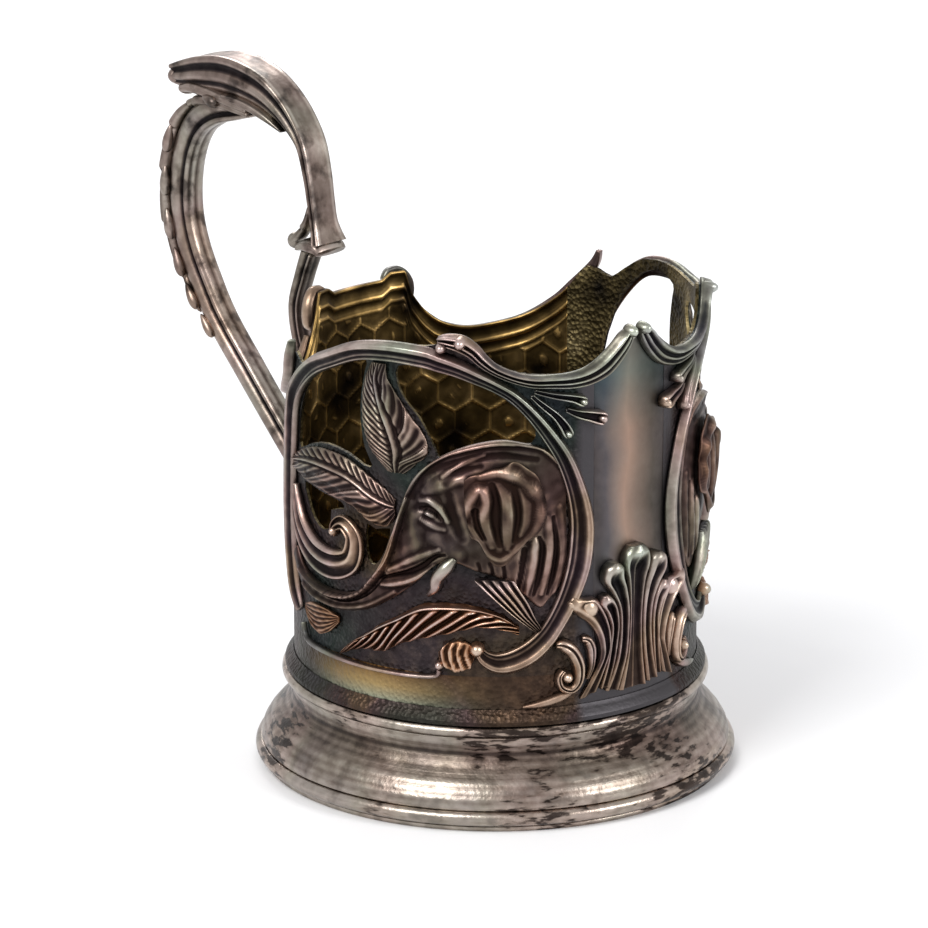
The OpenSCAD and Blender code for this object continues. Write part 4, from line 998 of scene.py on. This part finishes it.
def handle_bead(out, z, r, wide=1.0):
    """A bead turned about the vertical, stretched across the handle by wide, as one rolled grid."""
    a = np.linspace(-math.pi / 2, math.pi / 2, 13)[1:-1, None]
    t = np.arange(18) / 18 * 2 * math.pi
    x, y = r * np.cos(a) * np.cos(t) - out, wide * r * np.cos(a) * np.sin(t)
    return np.stack([x, y, z + r * np.sin(a) + 0 * t], -1) * MM


def drop(out, z, lean, length, thick, y):
    """A bead drawn out along a direction that leans from the vertical, in the handle's plane."""
    a = np.linspace(-math.pi / 2, math.pi / 2, 15)[1:-1, None]
    t = np.arange(16) / 16 * 2 * math.pi
    along = length / 2 * np.sin(a) + 0 * t
    fat = thick / 2 * np.cos(a) * (1 - 0.35 * np.sin(a))
    sine, cosine = math.sin(math.radians(lean)), math.cos(math.radians(lean))
    x = out + along * sine + fat * np.cos(t) * cosine
    return np.stack([-x, y + fat * np.sin(t), z + along * cosine - fat * np.cos(t) * sine], -1) * MM


def handle_piece(name, replaced, tables):
    return build(name, "handle_silver", [replaced], tables)


limb, hook = handle_rows(LIMB, LIMB_SIZE), handle_rows(HOOK, LIMB_SIZE)
handle_piece("crest", "handle_crest", [
    sweep_places(handle_rows(CREST, CREST_SIZE), CREST_HALF, 14),
    *(sweep_places(rows, PLAIN_HALF, 10) for rows in LIPS),
    *(drop(*FINGER_DROP, y) for y in (-2.9, 2.9)), *(handle_bead(*row) for row in LIP_ENDS)])
handle_piece("limb", "handle_limb", [sweep_places(limb, LIMB_HALF, 16, texture_wave)])
handle_piece("outer_leaves", "handle_outer_leaves", [
    sweep_places(outer_rows(limb), PLAIN_HALF, 26, leaf_wave(6)),
    *(drop(*row, y) for row in EDGE_DROPS for y in (-2.3, 2.3))])
handle_piece("hook_leaf", "handle_hook_leaf", [
    sweep_places(hook, PLAIN_HALF, 12, leaf_wave(2)), handle_bead(hook[3][0], hook[3][1], 1.5)])
handle_piece("thumb_end", "handle_thumb_rest", [
    sweep_places(handle_rows(THUMB, THUMB_SIZE), PLAIN_HALF, 12)])
handle_piece("bracket_scroll", "handle_bracket", [
    sweep_places(handle_rows(BRACKET, LIMB_SIZE), LIMB_HALF, 12)])
print("handle", [len(o.data.polygons) for o in made[-6:]])

# %% [markdown]
# ## Where the silver is bright and where it is dark
#
# Old silver is polished by hands on its ridges and stays black in its hollows. Every piece gets
# one number per vertex for that, called *wear*: how far the vertex stands out from the average of
# its neighbours, measured near and far, and how high it stands over the sheet. A second number,
# *warm*, says how brown its hollows are.

# %% Wear of every piece
WARM = {  # how brown the hollows are, by a word in the piece's name
    "elephant": 0.5, "ear_flap": 0.65, "acanthus": 1.4, "shell": 1.4, "curl": 1.2, "feather": 0.45,
    "wave": 0.3
}
USUAL_WARMTH = 0.2
SHADED = ("elephant", "ear_flap", "quill")  # a little darker than the other relief
POLISHED = {"crest": 0.24, "limb": 0.1, "thumb_end": 0.1}  # brighter on top and below than at the sides
REACHES = {3: 0.06, 14: 0.2}  # rounds of averaging, and how many millimetres count as much there


def read(items, name, width, kind=float):
    """A property of all vertices or edges, as rows of numbers."""
    values = np.empty(len(items) * width, kind)
    items.foreach_get(name, values)
    return values.reshape(-1, width)


def standing_out(co, normal, pair):
    """How far each vertex stands out from its neighbours, near and far together."""
    n = len(co)
    count = np.maximum(np.bincount(pair.ravel(), minlength=n), 1)
    one, two = pair.T
    soft, out = co, np.zeros(n)
    for turn in range(1, max(REACHES) + 1):
        soft = np.stack([np.bincount(one, soft[two, k], n) + np.bincount(two, soft[one, k], n)
                         for k in range(3)], -1) / count[:, None]
        if turn in REACHES:
            out += np.sum((co - soft) * normal, axis=1) / MM / REACHES[turn]
    return out


def wear_of(piece):
    mesh, name, slot = piece.data, piece.name, piece["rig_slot"]
    co, normal = read(mesh.vertices, "co", 3), read(mesh.vertices, "normal", 3)
    out = standing_out(co, normal, read(mesh.edges, "vertices", 2, int))
    radius = np.hypot(co[:, 0], co[:, 1]) / MM
    if slot == "relief_silver":
        lift = (radius - SEAT_R - (EAR_LIFT if "ear_flap" in name else 0)) / 2.2
        wear = 0.35 + 0.29 * np.tanh(0.7 * out) + 0.3 * (np.clip(lift, 0, 1.2) - 0.5)
        wear -= 0.08 if any(word in name for word in SHADED) else 0
    else:
        wear = 0.42 + 0.26 * np.tanh(0.8 * out) + (0.17 if slot == "foot_silver" else 0)
    if name in POLISHED:
        wear += POLISHED[name] * (1 - ease(np.abs(normal[:, 1]) * 1.6))
    if name == "rear_wall":
        wear = np.where(radius > SHEET_R - 0.2, 0.3, wear)
    wear = np.clip(wear, 0, 1)
    warmth = next((share for word, share in WARM.items() if word in name), USUAL_WARMTH)
    add_layer(piece, "wear", wear)
    add_layer(piece, "warm", np.full(len(co), warmth))
    return float(wear.mean())


worn = [wear_of(piece) for piece in made]
print("mean wear", round(sum(worn) / len(worn), 3))

# %% [markdown]
# ## Nodes in few words
#
# A material is a tree of nodes. Each helper here adds a node, feeds its sockets with the outputs of
# other nodes or with plain values, and gives back its own output. So a tree reads like a sum.

# %% Helpers for nodes
def feed(tree, socket, value):
    """Links an output to a socket, or sets the socket to a number, a place or a colour."""
    if isinstance(value, bpy.types.NodeSocket):
        tree.links.new(value, socket)
    else:
        socket.default_value = (*value, 1) if socket.type == "RGBA" else value


def node(tree, kind, inputs=(), **settings):
    new = tree.nodes.new(kind)
    for key, value in settings.items():
        setattr(new, key, value)
    for key, value in dict(inputs).items():
        feed(tree, new.inputs[key], value)
    return new


def attribute(tree, name):
    return node(tree, "ShaderNodeAttribute", attribute_name=name).outputs["Fac"]


def noise(tree, place, scale, detail):
    inputs = {"Vector": place, "Scale": scale, "Detail": detail}
    return node(tree, "ShaderNodeTexNoise", inputs).outputs["Fac"]


def maths(tree, how, *values):
    return node(tree, "ShaderNodeMath", dict(enumerate(values)), operation=how).outputs["Value"]


def times(tree, a, b):
    return maths(tree, "MULTIPLY", a, b)


def sway(tree, value, around, amount):
    """value, with noise about a half added to it."""
    return maths(tree, "ADD", value, times(tree, maths(tree, "SUBTRACT", around, 0.5), amount))


def vector(tree, how, *values):
    outputs = node(tree, "ShaderNodeVectorMath", dict(enumerate(values)), operation=how).outputs
    return outputs["Value" if how in ("LENGTH", "DOT_PRODUCT") else "Vector"]


def blend(tree, factor, a, b, how="MIX"):
    inputs = {"Factor": factor, "A": a, "B": b}
    return node(tree, "ShaderNodeMix", inputs, data_type="RGBA", blend_type=how).outputs["Result"]


def multiply(tree, a, b):
    return blend(tree, 1.0, a, b, "MULTIPLY")


def ramp(tree, source, *stops):
    """stops: place, colour; one number stands for a grey."""
    new = node(tree, "ShaderNodeValToRGB", {"Fac": source})
    elements = new.color_ramp.elements
    while len(elements) < len(stops):
        elements.new(0.5)
    for element, (place, colour) in zip(elements, stops):
        element.position = place
        element.color = (*(colour if isinstance(colour, tuple) else (colour,) * 3), 1)
    return new.outputs["Color"]


print("node helpers ready")

# %% [markdown]
# ## Old silver as a node group
#
# One node group makes every finish here: it takes how worn a place is and gives back its colour,
# its roughness and the height of its fine dents. Dark oxide, thin coloured tarnish and bright
# metal follow one another as the wear rises.

# %% The old silver group
old = bpy.data.node_groups.new("OldSilver", "ShaderNodeTree")
KINDS = {"Place": "NodeSocketVector", "Color": "NodeSocketColor"}
for way, labels in (("INPUT", ("Place", "Wear", "Tarnish", "Dents", "Warm")),
                    ("OUTPUT", ("Color", "Roughness", "Height"))):
    for label in labels:
        old.interface.new_socket(label, in_out=way, socket_type=KINDS.get(label, "NodeSocketFloat"))
given = old.nodes.new("NodeGroupInput").outputs
broad, fine, grain = (noise(old, given["Place"], *size) for size in ((55, 2), (500, 3), (1500, 2)))
level = sway(old, sway(old, given["Wear"], fine, 0.3), broad, 0.3)
metal = ramp(old, level, (0.12, (0.008, 0.008, 0.011)), (0.32, (0.03, 0.03, 0.035)),
             (0.48, (0.085, 0.078, 0.075)), (0.66, (0.25, 0.225, 0.21)), (0.9, (0.6, 0.55, 0.51)))
colours = ramp(old, noise(old, given["Place"], 48, 1.5), (0.3, (0.45, 0.72, 1.0)), (0.39, (0.5, 0.92, 0.72)),
               (0.47, (0.86, 0.84, 0.82)), (0.55, (1.0, 0.72, 0.8)), (0.62, (1.0, 0.74, 0.42)),
               (0.72, (1.0, 0.62, 0.36)))
tinted = multiply(old, multiply(old, metal, colours), (1.45, 1.45, 1.45))
fade = times(old, maths(old, "SUBTRACT", 1.0, times(old, level, 0.7)), given["Tarnish"])
low_part = maths(old, "SUBTRACT", 1.0, times(old, maths(old, "MAXIMUM", level, 0.0), 1.25))
warm_part = maths(old, "MAXIMUM", times(old, low_part, given["Warm"]), 0.0)
brown = multiply(old, metal, (3.3, 1.5, 0.62))
node(old, "NodeGroupOutput", {
    "Color": blend(old, warm_part, blend(old, fade, metal, tinted), brown),
    "Roughness": maths(old, "SUBTRACT", 0.58, times(old, maths(old, "MINIMUM", level, 1.0), 0.34)),
    "Height": times(old, maths(old, "ADD", fine, grain), given["Dents"])})
print("group", old.name, len(old.nodes), "nodes")

# %% [markdown]
# ## What single finishes add
#
# The cartouche has a highlight painted across it, the dark sheets have stippled ground and a golden
# reflection painted on the lower band, the foot is brushed round its axis, and whatever lies inside
# the sleeve is gilt. Each of these is a small function that takes a colour and gives back a changed
# one.
#
# A few plates keep the plain model's mesh, whose tube is cut into flat strips. Their material
# points the normal straight out from the axis wherever the strip faces nearly that way, so the
# plate shades as one round sheet.

# %% Additions to the finishes
GILT_R = 35.15  # between the sheet's two faces
PANEL_TURN, PANEL_HALF = -0.07, 0.33  # the plain black field of the dark sheets, in radians


def from_axis(t, spot):
    return vector(t, "MULTIPLY", spot, (1, 1, 0))


def painted_sheen_colour(t, spot, colour):
    """A painted highlight across the cartouche, dark at its sides and darker towards its top and foot."""
    across = sway(t, attribute(t, "across"), noise(t, spot, 70, 2), 0.35)
    edge_colour = (0.04, 0.038, 0.042)
    # painted highlight: copper across the middle of the cartouche, dark at its sides
    painted_highlight = ramp(t, across, (0.0, edge_colour), (0.14, (0.07, 0.068, 0.078)), (0.3, (0.2, 0.155, 0.135)),
                 (0.44, (0.32, 0.215, 0.165)), (0.62, (0.17, 0.125, 0.1)), (0.82, (0.06, 0.05, 0.042)),
                 (1.0, edge_colour))
    up = node(t, "ShaderNodeSeparateXYZ", {0: spot}).outputs["Z"]
    ends = ramp(t, times(t, up, 12.0), (0.12, (0.3, 0.3, 0.32)), (0.3, 1), (0.62, (1, 0.98, 0.95)),
                (0.74, (0.55, 0.8, 0.86)), (0.86, (0.3, 0.36, 0.42)))
    return multiply(t, blend(t, 0.15, painted_highlight, colour), ends)


def dark_sheet(t, spot, colour):
    """Plain black under the cartouche, stippled elsewhere, a painted golden reflection. Also gives the dots.
    """
    xyz = node(t, "ShaderNodeSeparateXYZ", {0: spot}).outputs
    turned = maths(t, "ARCTAN2", xyz["Y"], xyz["X"])
    away = maths(t, "ABSOLUTE", maths(t, "SUBTRACT", turned, PANEL_TURN))
    under = times(t, maths(t, "SUBTRACT", PANEL_HALF, away), 20.0)
    under = maths(t, "MINIMUM", maths(t, "MAXIMUM", under, 0.0), 1.0)
    # painted reflection: greenish low on the band, gold higher up and brown at its top
    glow = ramp(t, times(t, xyz["Z"], 100.0), (0.1, (0.16, 0.2, 0.17)), (0.4, (0.34, 0.36, 0.26)),
                (0.65, (0.42, 0.3, 0.13)), (0.95, (0.2, 0.1, 0.03)))
    colour = blend(t, under, colour, (0.06, 0.056, 0.06))
    colour = blend(t, times(t, attribute(t, "glow"), 0.75), colour, glow)
    dots = node(t, "ShaderNodeTexVoronoi", {"Vector": spot, "Scale": 1300}).outputs["Distance"]
    return colour, times(t, times(t, dots, 1.2), maths(t, "SUBTRACT", 1.0, under))


def brushed_metal(t, spot, colour):
    """Dark pits, and fine rings round the axis. Also gives the rings."""
    grain = noise(t, vector(t, "MULTIPLY", spot, (1, 1, 4)), 300, 5)
    pits = ramp(t, times(t, grain, noise(t, spot, 45, 2)), (0.2, 1), (0.27, (0.8, 0.78, 0.76)),
                (0.31, (0.13, 0.12, 0.12)))
    radius = vector(t, "LENGTH", from_axis(t, spot))
    up = node(t, "ShaderNodeSeparateXYZ", {0: spot}).outputs["Z"]
    along = node(t, "ShaderNodeCombineXYZ", {"X": times(t, radius, 60.0), "Z": times(t, up, 60.0)})
    return multiply(t, colour, pits), times(t, noise(t, along.outputs[0], 30, 3), 0.5)


def sooty(t, spot, colour, share):
    """Soot in patches."""
    soot = ramp(t, noise(t, spot, 260, 6), (0.36, (0.07, 0.065, 0.07)), (0.43, (0.55, 0.53, 0.52)), (0.5, 1))
    return blend(t, share, colour, multiply(t, colour, soot))


def gilt(t, spot, colour, worn):
    """Old gilding on all that lies within the sheet; where it can be worn, the ridges are brighter."""
    inside = maths(t, "LESS_THAN", vector(t, "LENGTH", from_axis(t, spot)), GILT_R * MM)
    gold = ramp(t, noise(t, spot, 130, 3), (0.3, (0.012, 0.01, 0.008)), (0.42, (0.05, 0.038, 0.018)),
                (0.56, (0.13, 0.1, 0.045)), (0.74, (0.34, 0.27, 0.14)))
    if worn:
        ridges = ramp(t, attribute(t, "wear"), (0.38, 0.22), (0.62, 1))
        gold = multiply(t, multiply(t, gold, ridges), (3.3, 2.75, 2.15))
    return blend(t, inside, colour, gold)


def round_normal(t, spot):
    """Straight out from the axis on either side of the sheet, and the true normal on its edges."""
    unit = vector(t, "NORMALIZE", from_axis(t, spot))
    true = node(t, "ShaderNodeNewGeometry").outputs["True Normal"]
    facing = vector(t, "DOT_PRODUCT", unit, true)
    near = maths(t, "GREATER_THAN", maths(t, "ABSOLUTE", facing), 0.9)
    sign = maths(t, "SIGN", facing)
    signed = node(t, "ShaderNodeVectorMath", {0: unit, "Scale": sign}, operation="SCALE").outputs["Vector"]
    inputs = {"Factor": near, "A": true, "B": signed}
    return node(t, "ShaderNodeMix", inputs, data_type="VECTOR").outputs["Result"]


print("additions ready")

# %% [markdown]
# ## The finishes
#
# Each finish is the old silver group with its own tarnish, tint and additions. A finish without a
# wear of its own reads the wear of the piece that it covers.

# %% Materials
def material(name, tarnish, dents, tint=(1, 1, 1), wear=None, strength=0.25, patches=0.0,
             round_sheet=False, brushed=False, with_painted_sheen=False, gilt_inside=False):
    m = bpy.data.materials.new(name)
    m.use_nodes = True
    t = m.node_tree
    spot = node(t, "ShaderNodeTexCoord").outputs["Object"]
    silver = node(t, "ShaderNodeGroup", {
        "Place": spot, "Wear": attribute(t, "wear") if wear is None else wear, "Tarnish": tarnish,
        "Dents": dents, "Warm": attribute(t, "warm")}, node_tree=old).outputs
    colour, dent = multiply(t, silver["Color"], tint), {"Height": silver["Height"]}
    # a highlight painted across the cartouche
    if with_painted_sheen:
        colour = painted_sheen_colour(t, spot, colour)
    if round_sheet:
        colour, dots = dark_sheet(t, spot, colour)
        dent = {"Height": maths(t, "ADD", silver["Height"], dots), "Normal": round_normal(t, spot)}
    if brushed:
        colour, rings = brushed_metal(t, spot, colour)
        dent = {"Height": maths(t, "ADD", silver["Height"], rings)}
    if patches:
        colour = sooty(t, spot, colour, patches)
    if gilt_inside:
        colour = gilt(t, spot, colour, wear is None)
    bumps = node(t, "ShaderNodeBump", {"Strength": strength, "Distance": 0.0004, **dent}).outputs["Normal"]
    shader = {"Metallic": 1.0, "Base Color": colour, "Roughness": silver["Roughness"], "Normal": bumps}
    for key, value in shader.items():
        feed(t, t.nodes["Principled BSDF"].inputs[key], value)
    return m


FINISH = {
    "relief_silver": material("Relief silver", 0.75, 0.35, (1, 0.97, 0.95)),
    "handle_silver": material("Handle silver", 0.35, 0.25, (0.74, 0.69, 0.66), patches=0.75),
    "foot_silver": material("Foot silver", 0.25, 0.5, (0.7, 0.64, 0.6), patches=0.36, brushed=True),
    "dark_silver": material("Dark silver", 0.7, 0.3, (1, 0.92, 0.8), wear=0.3, strength=0.5,
                            round_sheet=True, gilt_inside=True),
    # the cartouche's colour is mostly a painted highlight, copper across its middle and dark at its sides
    "satin_silver": material("Satin silver", 0.3, 0.12, wear=0.56, gilt_inside=True, with_painted_sheen=True),
    "gilt_silver": material("Gilt silver", 0.8, 0.3, gilt_inside=True)
}
for piece in made:
    piece.data.materials.clear()
    piece.data.materials.append(FINISH[piece["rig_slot"]])
for name in ("left_medallion_plate", "right_medallion_plate", "seam_strip"):
    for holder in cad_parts[name].material_slots:
        holder.material = FINISH["dark_silver"]
print("materials", list(FINISH))

# %% [markdown]
# ## The studio
#
# A pale floor, a large soft light from the upper left and weaker ones from the right and behind.
# Shiny metal shows what stands round it, so it mirrors the same pale background that the camera
# sees, and the world lights everything else more weakly.

# %% Floor, lights and camera
def area(name, place, size, power):
    data = bpy.data.lights.new(name, "AREA")
    data.shape, data.size, data.energy = "SQUARE", size, power
    lamp = bpy.data.objects.new(name, data)
    bpy.context.scene.collection.objects.link(lamp)
    lamp.location = place
    lamp.rotation_euler = (Vector((0, 0, 0.034)) - Vector(place)).to_track_quat("-Z", "Y").to_euler()


bm = bmesh.new()
bmesh.ops.create_grid(bm, x_segments=1, y_segments=1, size=3)
floor_mesh = bpy.data.meshes.new("table_top")
bm.to_mesh(floor_mesh)
bm.free()
table_top = bpy.data.objects.new("table_top", floor_mesh)
table_top.location.z = -REST_Z * MM
bpy.context.scene.collection.objects.link(table_top)
paper = bpy.data.materials.new("Pale paper")
paper.use_nodes = True
paper.node_tree.nodes["Principled BSDF"].inputs["Base Color"].default_value = (0.86, 0.86, 0.86, 1)
paper.node_tree.nodes["Principled BSDF"].inputs["Roughness"].default_value = 0.9
floor_mesh.materials.append(paper)

area("key", (0.1, -0.75, 0.75), 0.5, 9)
area("side", (0.85, 0.25, 0.45), 0.35, 4)
area("back", (-0.6, 0.5, 0.6), 0.5, 4)

scene = bpy.context.scene
scene.world = bpy.data.worlds.new("Studio")
scene.world.use_nodes = True
sky = scene.world.node_tree
ray = sky.nodes.new("ShaderNodeLightPath").outputs
mirrored = maths(sky, "MAXIMUM", ray["Is Glossy Ray"], ray["Is Transmission Ray"])
seen = maths(sky, "MAXIMUM", ray["Is Camera Ray"], mirrored)
feed(sky, sky.nodes["Background"].inputs["Color"], blend(sky, seen, (0.5, 0.5, 0.52), (0.93, 0.93, 0.93)))
sky.nodes["Background"].inputs["Strength"].default_value = 1.0

VIEW_TURN, VIEW_RISE = math.radians(45), math.radians(17.3)  # where the photo was taken from
camera = bpy.data.objects.new("Photo", bpy.data.cameras.new("Photo"))
scene.collection.objects.link(camera)
right, back = math.sin(VIEW_TURN) * math.cos(VIEW_RISE), math.cos(VIEW_TURN) * math.cos(VIEW_RISE)
away = Vector((right, -back, math.sin(VIEW_RISE)))
camera.location = Vector((0, 0, 0.05 - REST_Z * MM)) + away
camera.rotation_euler = (-away).to_track_quat("-Z", "Y").to_euler()
camera.data.lens, camera.data.sensor_width = 222.1, 36
camera.data.shift_x, camera.data.shift_y = -0.0337, 0.0177
scene.camera = camera
scene.view_settings.view_transform = "Standard"
print("camera at", [round(c, 4) for c in camera.location])
